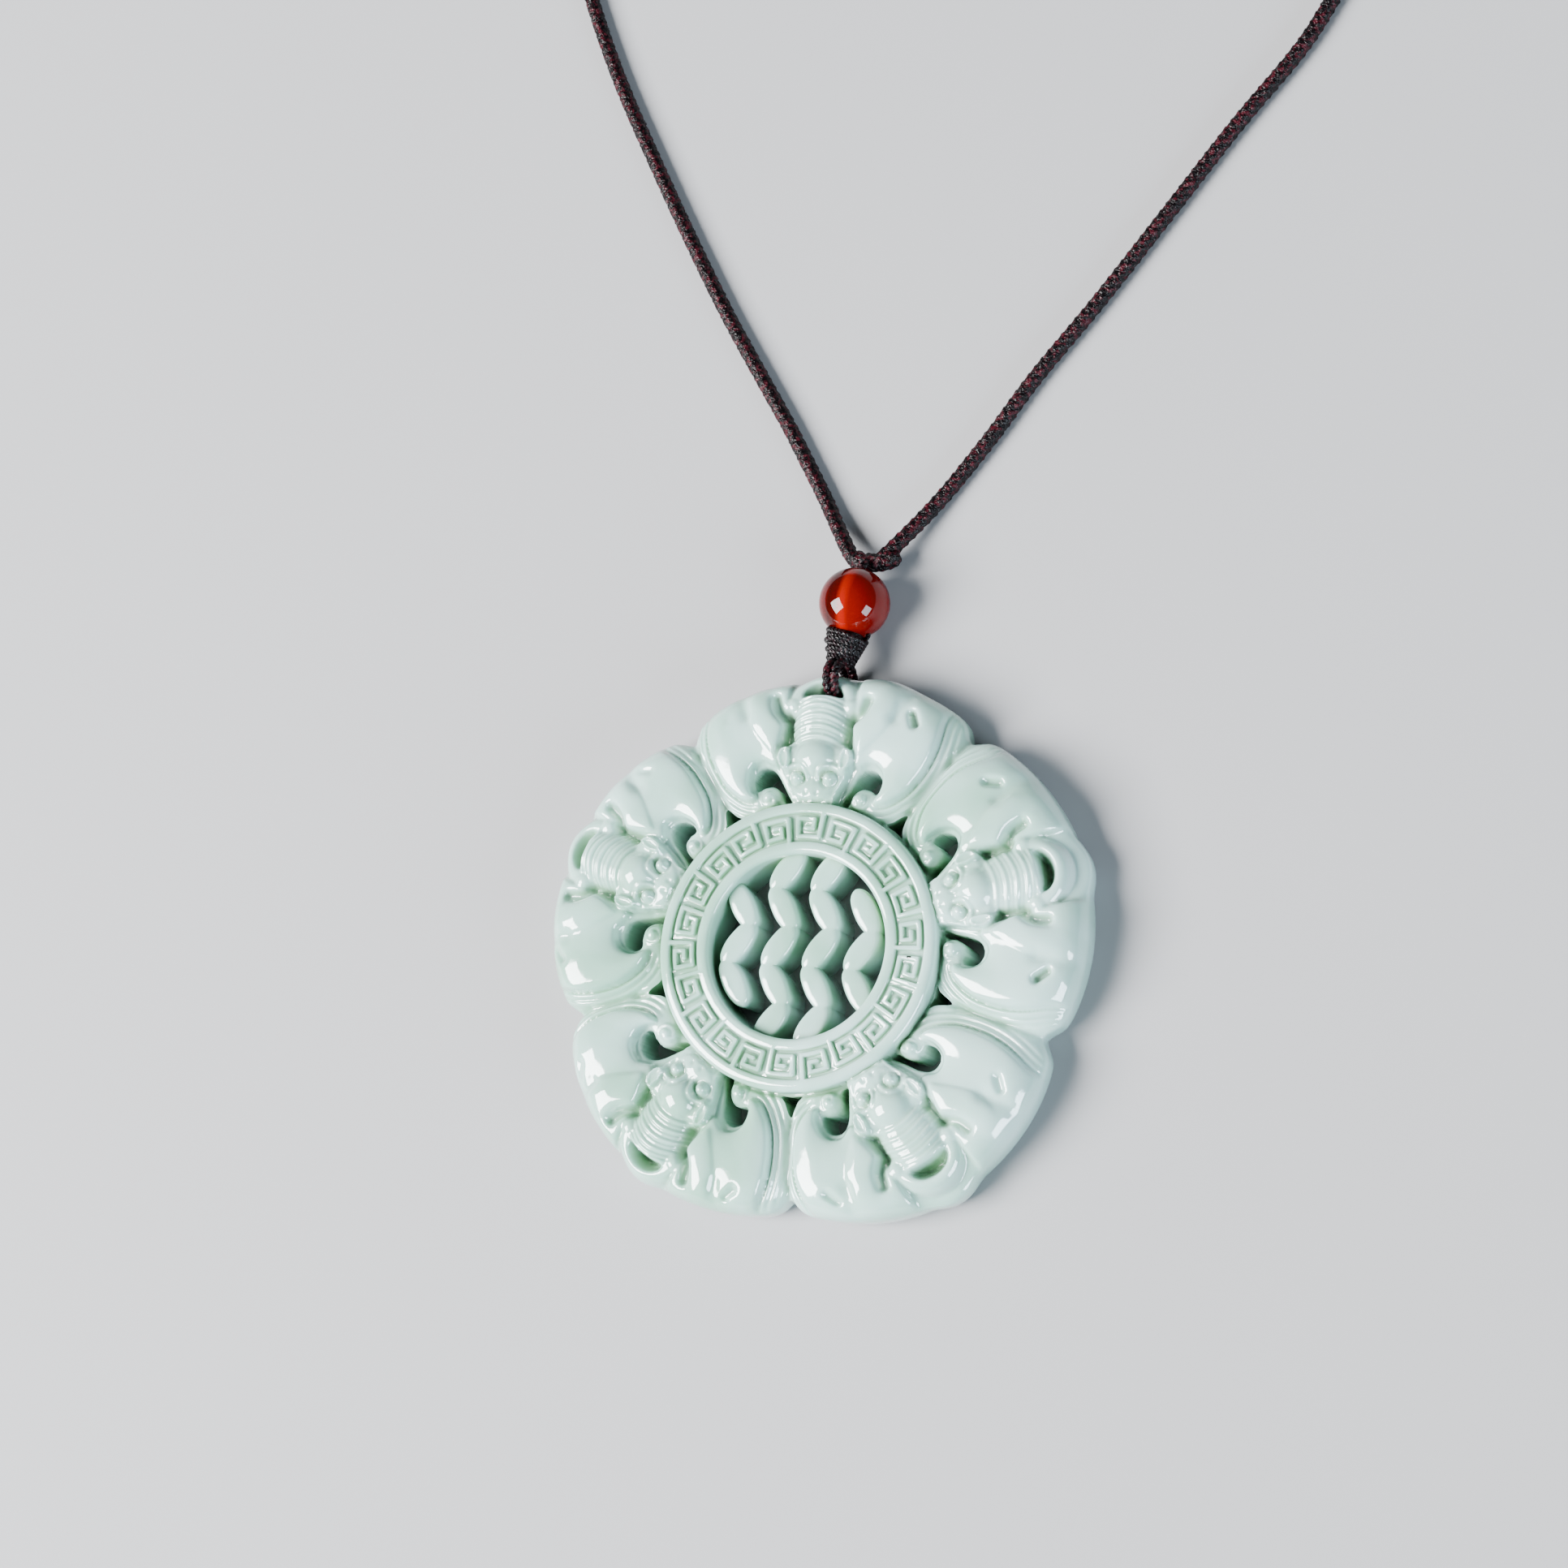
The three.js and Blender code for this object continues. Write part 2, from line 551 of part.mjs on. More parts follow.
function coil() {
  const half = COIL_TURNS_ACROSS * CORD_DIAMETER / 2;
  const high = COIL_LAYERS * CORD_DIAMETER;
  const round = CORD_DIAMETER / 3;
  const [inner, outer] = [COIL_MEAN_RADIUS - half, COIL_MEAN_RADIUS + half];
  const section = [
    [inner, round], [inner + round, 0], [outer - round, 0], [outer, round], [outer, high - round],
    [outer - round, high], [inner + round, high], [inner, high - round], [inner, round],
  ];
  const profile = section.map(([r, h]) => new THREE.Vector2(r, h));
  const geometry = new THREE.LatheGeometry(profile, 16);
  return solidOf(geometry.rotateX(Math.PI / 2).translate(COIL_X, COIL_Y, 0));
}

// Materials and pieces

function finish(color, roughness) {
  return new THREE.MeshStandardMaterial({ color, roughness, metalness: 0 });
}

const jade = finish(0xb9cdbd, 0.25);
const agate = finish(0xc22a12, 0.15);
const braid = finish(0x241719, 0.5);

const piece = (name, solid, material) => {
  const mesh = new THREE.Mesh(geometryOf(solid), material);
  mesh.name = name;
  return mesh;
};

const carvedPieces = [
  piece('pendant', pendant(), jade),
  piece('agate_bead', bead(), agate),
  piece('woven_wrap', wovenWrap(), braid),
  piece('hanging_cord', hangingCord(), braid),
];
const necklacePieces = [
  piece('cord_left', solidOf(rod(LEFT_ROUTE, CORD_DIAMETER / 2, 22, 8)), braid),
  piece('cord_coil', coil(), braid),
  piece('cord_right', solidOf(rod(RIGHT_ROUTE, CORD_DIAMETER / 2, 22, 8)), braid),
];

// The frame's origin lies under the middle of the pendant, bead and hanging cord together.
const box = new THREE.Box3();
carvedPieces.forEach((mesh) => box.expandByObject(mesh));
const middle = box.getCenter(new THREE.Vector3());

const group = new THREE.Group();
group.position.set(-middle.x, -middle.y, -box.min.z);
group.add(...carvedPieces, ...necklacePieces);

export default group;
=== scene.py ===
# A jade amulet of five bats round a fret ring, with its agate bead, thread work and necklace cord.
import math
import bmesh
import bpy
import numpy as np
from mathutils import Matrix, Vector


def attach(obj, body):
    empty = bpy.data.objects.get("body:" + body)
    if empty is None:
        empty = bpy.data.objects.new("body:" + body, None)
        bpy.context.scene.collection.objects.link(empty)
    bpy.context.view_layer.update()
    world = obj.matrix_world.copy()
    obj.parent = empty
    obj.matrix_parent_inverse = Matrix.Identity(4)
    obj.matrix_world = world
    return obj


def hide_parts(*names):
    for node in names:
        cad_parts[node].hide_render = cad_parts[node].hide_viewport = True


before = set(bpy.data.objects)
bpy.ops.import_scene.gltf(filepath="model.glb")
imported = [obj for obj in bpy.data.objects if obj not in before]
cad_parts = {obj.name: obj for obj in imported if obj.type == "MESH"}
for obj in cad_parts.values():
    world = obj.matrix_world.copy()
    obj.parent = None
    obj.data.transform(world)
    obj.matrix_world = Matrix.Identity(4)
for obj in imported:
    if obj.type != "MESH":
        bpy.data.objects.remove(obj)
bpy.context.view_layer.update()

# The camera looks down on the pendant from its lower right, as someone at a table would.
# Everything below is laid out from the stone's own centre, on the surface under it.
MM = 0.001
STONE_CENTRE = Vector((-0.000648, -0.006927, 0.0))
CAMERA_PLACE = (0.098093, -0.039974, 0.261312)
CAMERA_TURN_DEG = (13.74, 20.1, 7.09)
CAMERA_LENS_MM = 71.87

camera = bpy.data.objects.new("camera", bpy.data.cameras.new("camera"))
camera.data.lens = CAMERA_LENS_MM
camera.data.clip_start = 0.01
camera.location = STONE_CENTRE + Vector(CAMERA_PLACE)
camera.rotation_euler = [math.radians(turn) for turn in CAMERA_TURN_DEG]
bpy.context.scene.collection.objects.link(camera)
bpy.context.scene.camera = camera

# The necklace cord: a round braid of fine thread, near black with maroon among it.
# It leaves the knot on the left, lies in a wide bend, is wound up behind the pendant in a flat
# coil of two layers, and comes back to the knot on the right.
CORD_WIDE = 0.0015
BRAID_WIDE = 0.00158
BRAID_PITCH = 0.0038
BRAID_DEEP = 0.00028
COIL_CENTRE = (0.0020, 0.1080)
COIL_RADII = (0.01075, 0.00925, 0.00775, 0.00625)
COIL_STEPS = 24
COIL_SHIFT = 0.12
POINTS_A_PITCH = 14
CORD_LEFT = (
    (-0.0006, 0.0371, 0.00185), (-0.0026, 0.0402, 0.0011), (-0.0044, 0.0432, 0.00075),
    (-0.0063, 0.0462, 0.00075), (-0.0086, 0.0498, 0.00075), (-0.0115, 0.0540, 0.00075),
    (-0.0164, 0.0612, 0.00075), (-0.0215, 0.0694, 0.00075), (-0.0263, 0.0775, 0.00075),
    (-0.0310, 0.0858, 0.00075), (-0.0351, 0.0943, 0.00075), (-0.0366, 0.0988, 0.00075),
    (-0.0356, 0.1030, 0.00075), (-0.0320, 0.1052, 0.00075), (-0.0270, 0.1046, 0.00075),
    (-0.0215, 0.1022, 0.00075), (-0.0155, 0.0996, 0.00075), (-0.0095, 0.0979, 0.00075),
    (-0.0043, 0.09725, 0.00075),
)
CORD_RIGHT = (
    (0.0083, 0.09725, 0.0022), (0.0125, 0.0974, 0.0016), (0.0170, 0.0982, 0.0009),
    (0.0220, 0.0996, 0.00075), (0.0275, 0.1016, 0.00075), (0.0330, 0.1032, 0.00075),
    (0.0380, 0.1026, 0.00075), (0.0410, 0.0992, 0.00075), (0.0412, 0.0948, 0.00075),
    (0.0392, 0.0904, 0.00075), (0.0366, 0.0856, 0.00075), (0.0315, 0.0786, 0.00075),
    (0.0260, 0.0704, 0.00075), (0.0202, 0.0618, 0.00075), (0.0150, 0.0546, 0.00075),
    (0.0116, 0.0492, 0.00075), (0.0086, 0.0448, 0.00075), (0.0061, 0.0413, 0.0011),
    (0.0035, 0.0378, 0.0019),
)
INTO_KNOT = ((0.0002, 0.0366, 0.0020), (0.0025, 0.0367, 0.0020))


def smooth_line(points, closed=False, steps=6):
    """A Catmull-Rom curve through the points."""
    points = np.array(points, float)
    count = len(points)
    curve = []
    for i in range(count if closed else count - 1):
        here, there = points[i], points[(i + 1) % count]
        before = points[i - 1] if closed or i else 2 * here - there
        after = points[(i + 2) % count] if closed or i + 2 < count else 2 * there - here
        for t in np.linspace(0, 1, steps, endpoint=False):
            bend = 2 * before - 5 * here + 4 * there - after
            curl = after - before + 3 * (here - there)
            curve.append(0.5 * (2 * here + (there - before) * t + bend * t ** 2 + curl * t ** 3))
    if not closed:
        curve.append(points[-1])
    return np.array(curve)


def even_line(points, gap):
    """The same line with its points at equal distances."""
    steps = np.linalg.norm(np.diff(points, axis=0), axis=1)
    run = np.concatenate([[0], np.cumsum(steps)])
    marks = np.linspace(0, run[-1], max(2, round(run[-1] / gap)) + 1)
    return np.stack([np.interp(marks, run, points[:, i]) for i in range(3)], axis=1)


def coil_points():
    """Turns inward on the floor, then outward on top of them, each stepping over near its end."""
    radii = list(COIL_RADII) + list(reversed(COIL_RADII))
    points = []
    for turn, radius in enumerate(radii):
        last = turn == len(radii) - 1
        after = radius if last else radii[turn + 1]
        low = CORD_WIDE * (0.5 + turn // len(COIL_RADII))
        high = low if last else CORD_WIDE * (0.5 + (turn + 1) // len(COIL_RADII))
        for step in range(COIL_STEPS):
            share = step / COIL_STEPS
            across = max(0, (share - 1 + COIL_SHIFT) / COIL_SHIFT)
            angle = math.tau * (share - 0.25)
            reach = radius + (after - radius) * across
            height = low + (high - low) * across
            points.append((COIL_CENTRE[0] + reach * math.cos(angle),
                           COIL_CENTRE[1] + reach * math.sin(angle), height))
    points.append((COIL_CENTRE[0], COIL_CENTRE[1] - COIL_RADII[0], 1.5 * CORD_WIDE))
    return points


def frames_along(line):
    """Two directions across the line at each point, carried along without twist."""
    ways = np.gradient(line, axis=0)
    ways /= np.linalg.norm(ways, axis=1)[:, None]
    side = np.cross(ways[0], (0, 0, 1))
    sides = []
    for way in ways:
        side = side - way * np.dot(side, way)
        side /= np.linalg.norm(side)
        sides.append(side)
    sides = np.array(sides)
    return sides, np.cross(ways, sides)


def tube_mesh(lines, radius, name):
    """Round threads along the given lines, as one mesh."""
    data = bpy.data.curves.new(name, "CURVE")
    data.dimensions = "3D"
    data.bevel_depth = radius
    data.bevel_resolution = 1
    data.use_fill_caps = True
    for line in lines:
        spline = data.splines.new("POLY")
        spline.points.add(len(line) - 1)
        spline.points.foreach_set("co", np.c_[line, np.ones(len(line))].ravel())
    thread = bpy.data.objects.new(name, data)
    bpy.context.scene.collection.objects.link(thread)
    graph = bpy.context.evaluated_depsgraph_get()
    mesh = bpy.data.meshes.new_from_object(thread.evaluated_get(graph))
    bpy.data.objects.remove(thread)
    bpy.data.curves.remove(data)
    return mesh


def round_braid(line, wide, pitch, sides=24, strands=4):
    """Places on a round braid: where two strands cross, they go over one another by turns."""
    out, up = frames_along(line)
    run = np.concatenate([[0], np.cumsum(np.linalg.norm(np.diff(line, axis=0), axis=1))])[:, None]
    turn = np.arange(sides + 1) / sides
    left, right = strands * (turn - run / pitch), strands * (turn + run / pitch)
    left_crest, right_crest = np.sin(math.pi * (left % 1)), np.sin(math.pi * (right % 1))
    left_over = (np.floor(left) + np.floor(right)) % 2 == 0
    upper = np.where(left_over, left_crest, right_crest)
    lower = np.where(left_over, right_crest, left_crest)
    sunk = BRAID_DEEP * (1 - upper ** 0.7 * lower ** 0.35)
    reach = (np.reshape(wide, (-1, 1)) / 2 - sunk)[..., None]
    angle = math.tau * turn[None, :, None]
    return line[:, None] + reach * (out[:, None] * np.cos(angle) + up[:, None] * np.sin(angle))


def face_outward(bm):
    bm.normal_update()
    bmesh.ops.recalc_face_normals(bm, faces=bm.faces)


def closed_skin(places):
    """A grid bent round on itself into one closed skin. A tube's open ends are capped."""
    rows, columns = places.shape[:2]
    places[:, -1] = places[:, 0]
    bm = bmesh.new()
    bmesh.ops.create_grid(bm, x_segments=rows - 1, y_segments=columns - 1, size=1)
    for vert in bm.verts:
        row = round((vert.co.x + 1) / 2 * (rows - 1))
        column = round((vert.co.y + 1) / 2 * (columns - 1))
        vert.co = places[row, column]
    bmesh.ops.remove_doubles(bm, verts=bm.verts, dist=1e-7)
    bmesh.ops.holes_fill(bm, edges=[edge for edge in bm.edges if edge.is_boundary], sides=columns)
    face_outward(bm)
    return bm


def mesh_of(bm, name):
    mesh = bpy.data.meshes.new(name)
    bm.to_mesh(mesh)
    bm.free()
    return mesh


def piece_of(mesh, name, *nodes, slot, material):
    """A finished piece at the origin, riding on the pendant's one body."""
    piece = bpy.data.objects.new(name, mesh)
    bpy.context.scene.collection.objects.link(piece)
    mesh.materials.clear()
    mesh.materials.append(material)
    mesh.shade_smooth()
    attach(piece, "root")
    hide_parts(*nodes)
    return piece


def new_material(name):
    material = bpy.data.materials.new(name)
    material.use_nodes = True
    nodes = material.node_tree.nodes
    return material, nodes, material.node_tree.links, nodes["Principled BSDF"]


def put(node, **values):
    """Sets a node's inputs, each by its name with low lines for the spaces."""
    for name, value in values.items():
        node.inputs[name.replace("_", " ")].default_value = value


def noise(nodes, links, place, **values):
    texture = nodes.new("ShaderNodeTexNoise")
    put(texture, **values)
    links.new(place.outputs["Object"], texture.inputs["Vector"])
    return texture


def colour_ramp(nodes, *stops):
    """A ramp through (position, red, green, blue)."""
    ramp = nodes.new("ShaderNodeValToRGB")
    elements = ramp.color_ramp.elements
    ends = {0: elements[0], len(stops) - 1: elements[1]}
    for end, element in ends.items():
        element.position, element.color = stops[end][0], (*stops[end][1:], 1)
    for position, *colour in stops[1:-1]:
        elements.new(position).color = (*colour, 1)
    return ramp


def bumped(nodes, links, texture, shader, strength, distance):
    bump = nodes.new("ShaderNodeBump")
    put(bump, Strength=strength, Distance=distance)
    links.new(texture.outputs["Fac"], bump.inputs["Height"])
    links.new(bump.outputs["Normal"], shader.inputs["Normal"])


def thread_material(name, dark, light, lit):
    """Fine waxed thread: near black with maroon fibres among it, each fibre with its own glint."""
    material, nodes, links, shader = new_material(name)
    place = nodes.new("ShaderNodeTexCoord")
    patches = noise(nodes, links, place, Scale=2200)
    ramp = colour_ramp(nodes, (0.50, *dark), (0.62, *light))
    links.new(patches.outputs["Fac"], ramp.inputs["Fac"])
    links.new(ramp.outputs["Color"], shader.inputs["Base Color"])
    fibres = noise(nodes, links, place, Scale=5200, Detail=1)
    bumped(nodes, links, fibres, shader, 1.0, 0.00014)
    put(shader, Roughness=0.3, Specular_IOR_Level=lit)
    return material


centre = np.array(STONE_CENTRE)
cord_way = np.concatenate([INTO_KNOT[:1], CORD_LEFT, coil_points(), CORD_RIGHT, INTO_KNOT[1:]])
cord_line = even_line(smooth_line(cord_way), BRAID_PITCH / POINTS_A_PITCH) + centre
cord_line[:, 2] = np.maximum(cord_line[:, 2], BRAID_WIDE / 2)
braid_thread = thread_material("braid_thread", (0.002, 0.001, 0.0015), (0.038, 0.004, 0.008), 0.16)
necklace_cord = piece_of(
    mesh_of(closed_skin(round_braid(cord_line, BRAID_WIDE, BRAID_PITCH)), "necklace_cord"),
    "necklace_cord", "cord_left", "cord_coil", "cord_right", slot="braid", material=braid_thread)

# The stone: one disc of pale jade, carved in relief and pierced. Five bats lie with their heads at a
# ring that carries a fret, and joined brush dabs fill the ring. It is ground and polished all over,
# and its back is left flat.
# Sizes here are in millimetres, on axes through the stone's centre or on a bat's own axes:
# u across it, v from the ring's centre out through its head to its tail.
BAT_AZIMUTHS = np.radians((90.8, 160.3, 238.1, 308.4, 380.3))
BAT_LEANS = np.array((0, 0, 0.65, 0.5, 0))
# half of the room that each bat would have if the five stood evenly
EVEN_ROOM = math.radians(36)
LOBE_CENTRE, LOBE_RADIUS = 8.0, 16.6
CREST_CENTRE, CREST_RADIUS = 21.8, 3.4
NOTCH_DEEP, NOTCH_HALF = 0.9, math.radians(2.6)
FOOT_SPREAD_AT_BATS = np.array((0, 0.3, 0.2, 1.35, 1.7))
FOOT_SPREAD_AT_NOTCHES = np.array((0.9, 0.9, 0.6, 2.0, 2.0))
PIT_DEPTHS = np.array(((0.1, 1), (0.5, 0.25), (0.6, 0.4), (0.5, 0.6), (0.7, 1)))
# one shoulder of the stone stands out further, right of the hanging cord
SHOULDER_AT, SHOULDER_HALF, SHOULDER_OUT = np.radians((79.0,)), math.radians(7), 0.6
RING_INNER, RING_OUTER, RING_TOP = 8.3, 13.0, 6.1
FRET_COUNT = 22
FIELD_TOP = 4.4
WALL_TOP = 2.9
WALL_PROFILE = ((0, 2.3), (0, 1.7), (0.05, 1.2), (0.2, 0.75), (0.45, 0.35), (0.8, 0.1), (1.3, 0))
RING_FOOT = ((0.5, 0.02), (0.2, 0.15), (0.05, 0.4), (0, 0.9), (0, 2.5), (0, 4.2))
DAB_LENGTH, DAB_WIDTH, DAB_PITCH, DAB_OVERLAP = 4.9, 2.3, 3.9, 0.7
DAB_LEAN = math.radians(32)
DAB_PROFILE = ((0, 0.6), (0.93, 0.6), (1.0, 0.8), (1.0, 4.3), (0.99, 4.62), (0.94, 4.88), (0.85, 5.03),
               (0.7, 5.1), (0.35, 5.13), (0, 5.13))
SECTORS, RING_ROWS, BAT_ROWS = 1100, 56, 112
STONE_TRIANGLES = 185000
CUT_LOW, CUT_HIGH = -1, 9
CHANNEL_SIZE, CHANNEL_PLACE = Vector((2.8, 5.4, 3.6)), Vector((0.3, 25.1, 0.1))

# the broad skin of a wing, and the lip that runs along it from the curl to the notch
PANEL = smooth_line((
    (3.3, 16.9), (5.2, 16.75), (6.2, 16.1), (6.45, 15.0), (6.1, 13.9), (5.4, 13.2), (6.4, 12.95),
    (7.5, 13.3), (8.8, 14.2), (9.8, 15.4), (10.7, 16.9), (11.3, 18.6), (11.6, 20.6), (12.0, 24.0),
    (8.0, 27.0), (3.4, 26.0)), True)
PETAL = smooth_line((
    (3.9, 16.85), (4.9, 17.6), (6.2, 18.75), (7.15, 20.1), (7.7, 21.8), (7.9, 24.0), (7.6, 27.0),
    (5.0, 27.0), (4.7, 24.4), (4.75, 23.0), (4.4, 21.8), (3.5, 20.9), (3.1, 20.0), (3.35, 18.4)), True)
HEAD = smooth_line((
    (0, 12.4), (1.7, 12.5), (2.2, 13.8), (2.9, 15.3), (3.5, 16.9), (2.7, 18.3), (0, 18.8),
    (-2.7, 18.3), (-3.5, 16.9), (-2.9, 15.3), (-2.2, 13.8), (-1.7, 12.5)), True)
EAR = smooth_line((
    (2.45, 15.9), (2.3, 16.9), (2.65, 18.0), (3.3, 17.8), (3.55, 16.9), (3.1, 15.9)), True)
KIDNEY = smooth_line((
    (2.35, 13.05), (3.0, 14.1), (3.8, 15.5), (4.6, 16.15), (5.5, 16.1), (6.1, 15.5), (6.15, 14.7),
    (5.7, 14.05), (5.0, 14.45), (4.2, 14.55), (3.5, 14.0), (3.15, 13.3), (2.8, 12.95)), True)
CORNER = smooth_line((
    (-1.0, 13.2), (0, 13.25), (1.0, 13.2), (0.6, 13.8), (0.15, 14.9), (-0.15, 14.9), (-0.6, 13.8)), True)
TAIL_HOLLOW = smooth_line((
    (-1.6, 22.7), (-0.8, 22.95), (0, 23.05), (0.8, 22.95), (1.6, 22.7), (1.75, 23.2), (1.1, 23.85),
    (0, 24.1), (-1.1, 23.85), (-1.75, 23.2)), True)
# the one tail hollow that goes right through, narrower and to the right, where the cord runs
HANG_HOLE, HANG_HOLE_LOW = TAIL_HOLLOW * (0.68, 1) + (0.3, 0), 1


def span_to(u, v, line, closed=True):
    """How far each place lies inside a closed line (negative outside), or away from an open one."""
    best = np.full(u.shape, 1e9)
    inside = np.zeros(u.shape, bool)
    ends = np.roll(line, -1, axis=0) if closed else line[1:]
    for (ax, ay), (bx, by) in zip(line, ends):
        dx, dy = bx - ax, by - ay
        t = np.clip(((u - ax) * dx + (v - ay) * dy) / (dx * dx + dy * dy), 0, 1)
        best = np.minimum(best, (u - ax - t * dx) ** 2 + (v - ay - t * dy) ** 2)
        if closed and dy:
            inside ^= ((ay > v) != (by > v)) & (u < dx * (v - ay) / dy + ax)
    far = np.sqrt(best)
    return np.where(inside, far, -far) if closed else far


def dome(inside, width):
    """A rounded shoulder: 0 at the edge, 1 from the given width inwards."""
    t = np.clip(inside / width, 0, 1)
    return np.sqrt(1 - (1 - t) ** 2)


def ease(t):
    t = np.clip(t, 0, 1)
    return t * t * (3 - 2 * t)


def over(top, under, soft=0.1):
    """The higher of two surfaces, with a small fillet where they meet."""
    share = np.clip(0.5 + 0.5 * (top - under) / soft, 0, 1)
    return under * (1 - share) + top * share + soft * share * (1 - share)


def groove(far, half, deep):
    return deep * np.exp(-(far / half) ** 2)


def polished(field, passes):
    """Smooths a field of rows and sectors, as polishing does."""
    for _ in range(passes):
        field = (np.roll(field, 1, 1) + 2 * field + np.roll(field, -1, 1)) / 4
        padded = np.concatenate([field[:1], field, field[-1:]])
        field = (padded[:-2] + 2 * padded[1:-1] + padded[2:]) / 4
    return field


def turn_gap(azimuth, marks):
    gap = (azimuth[..., None] - marks + math.pi) % math.tau - math.pi
    nearest = np.abs(gap).argmin(-1)
    return np.take_along_axis(gap, nearest[..., None], -1)[..., 0], nearest


next_azimuths = np.append(BAT_AZIMUTHS[1:], BAT_AZIMUTHS[0] + math.tau)
notch_azimuths = (BAT_AZIMUTHS + next_azimuths) / 2


def arc_reach(distance, radius, angle):
    under = radius ** 2 - (distance * np.sin(angle)) ** 2
    return np.where(under > 0, distance * np.cos(angle) + np.sqrt(np.maximum(under, 0)), 0)


def outline_reach(azimuth):
    gap = np.abs(turn_gap(azimuth, BAT_AZIMUTHS)[0])
    notch = turn_gap(azimuth, notch_azimuths)[0]
    lobe = arc_reach(LOBE_CENTRE, LOBE_RADIUS, gap)
    crest = arc_reach(CREST_CENTRE, CREST_RADIUS, gap)
    return over(lobe, crest, 0.5) - NOTCH_DEEP * np.exp(-(notch / NOTCH_HALF) ** 2)


def foot_spread(azimuth):
    """How far the foot of the stone stands out beyond the carving."""
    gap, bat = turn_gap(azimuth, BAT_AZIMUTHS)
    notch = np.where(gap > 0, bat, bat - 1)
    half = (next_azimuths - BAT_AZIMUTHS)[notch] / 2
    share = ease(np.abs(gap) / half)
    shoulder = turn_gap(azimuth, SHOULDER_AT)[0] / SHOULDER_HALF
    return (FOOT_SPREAD_AT_BATS[bat] * (1 - share) + FOOT_SPREAD_AT_NOTCHES[notch] * share
            + SHOULDER_OUT * np.exp(-shoulder ** 2))


def lean_at(bat, v):
    return BAT_LEANS[bat] * np.clip((23 - v) / 8, 0, 1.3)


def widened(u, room):
    """How much wider the bat is drawn there than it would be in an even room."""
    return 1 + (room / EVEN_ROOM - 1) * ease((np.abs(u) - 3) / 5)


def on_bat(x, y):
    """The place on its bat's own axes, fitted to the room between the neighbours."""
    gap, bat = turn_gap(np.arctan2(y, x), BAT_AZIMUTHS)
    away = np.hypot(x, y)
    u, v = -away * np.sin(gap), away * np.cos(gap)
    room_after = (next_azimuths - BAT_AZIMUTHS) / 2
    room = np.where(gap > 0, room_after[bat], np.roll(room_after, 1)[bat])
    return u / widened(u, room) - lean_at(bat, v), v


def wings(u, v):
    """Two skins and a lip on each side, the inner skin lying over the outer one."""
    a = np.abs(u)
    inside = polished(span_to(a, v, PANEL), 8)
    lip = FIELD_TOP + 0.55 - 0.28 * np.clip(-inside, 0, 2)
    for line, deep in ((0.12, 0.34), (0.72, 0.3), (1.3, 0.22)):
        lip = lip - groove(inside + line, 0.14, deep) * ease((a - 5.2) / 1.2)
    skin = FIELD_TOP + 0.6 + 0.3 * dome(inside, 0.4) + 0.8 * dome(inside, 2.7) - 0.2 * ease((v - 18) / 4)
    z = np.where(inside > 0, skin, lip)
    inside = polished(span_to(a, v, PETAL), 12)
    petal = FIELD_TOP + 0.6 + 0.75 * dome(inside, 0.6) + 0.65 * dome(inside, 1.75)
    petal = petal - 0.35 * ease((v - 20.5) / 3)
    return np.where(inside > 0, over(petal, z, 0.08), z)


def tail_and_abdomen(u, v, z):
    a = np.abs(u)
    # the ground beside them lies deeper than the wings
    z = z - 0.4 * ease((3.4 - a) / 0.4) * ease((v - 16.5) / 1.0)
    far = np.hypot(u, v - 22.0)
    ribbon = np.where(v > 21.6, np.abs(far - 2.5), np.hypot(a - 2.5, v - 21.6))
    z = over(z, 3.9 + 1.6 * dome(1.1 - ribbon, 1.05), 0.1)
    z = over(z, 4.0 + 1.7 * dome(1.2 - np.hypot(a - 2.7, v - 21.9), 1.15), 0.1)
    half = 2.75 - 0.06 * (v - 20.2) ** 2
    s = v + 0.13 * u * u
    along = np.minimum(s - 17.9, 23.0 - v)
    belly = 4.5 + 1.9 * dome(half - a, 2.4) * dome(along, 0.5)
    step = (s - 18.5) / 0.97
    edge = (step - np.round(step)) * 0.97
    belly = belly - groove(edge - 0.19, 0.12, 0.3) - groove(edge + 0.19, 0.12, 0.3)
    return np.where((a < half) & (along > 0), over(belly, z, 0.08), z)


def hollows(u, v, pit):
    a = np.abs(u)
    beside_tail = span_to(a, v, smooth_line(((3.35, 20.7), (4.0, 21.3), (4.45, 22.5))), False)
    wing_tip = span_to(a, v, smooth_line(((8.8, 21.3), (9.2, 20.3))), False)
    wing_root = span_to(a, v, smooth_line(((7.3, 20.9), (8.2, 22.4), (8.6, 24.0))), False)
    inside = span_to(u, v, TAIL_HOLLOW)
    return (groove(beside_tail, 0.42, 0.95) + groove(wing_tip, 0.36, 1.0) * pit
            + groove(wing_root, 0.7, 0.35) + 1.0 * ease((inside + 0.3) / 0.8))


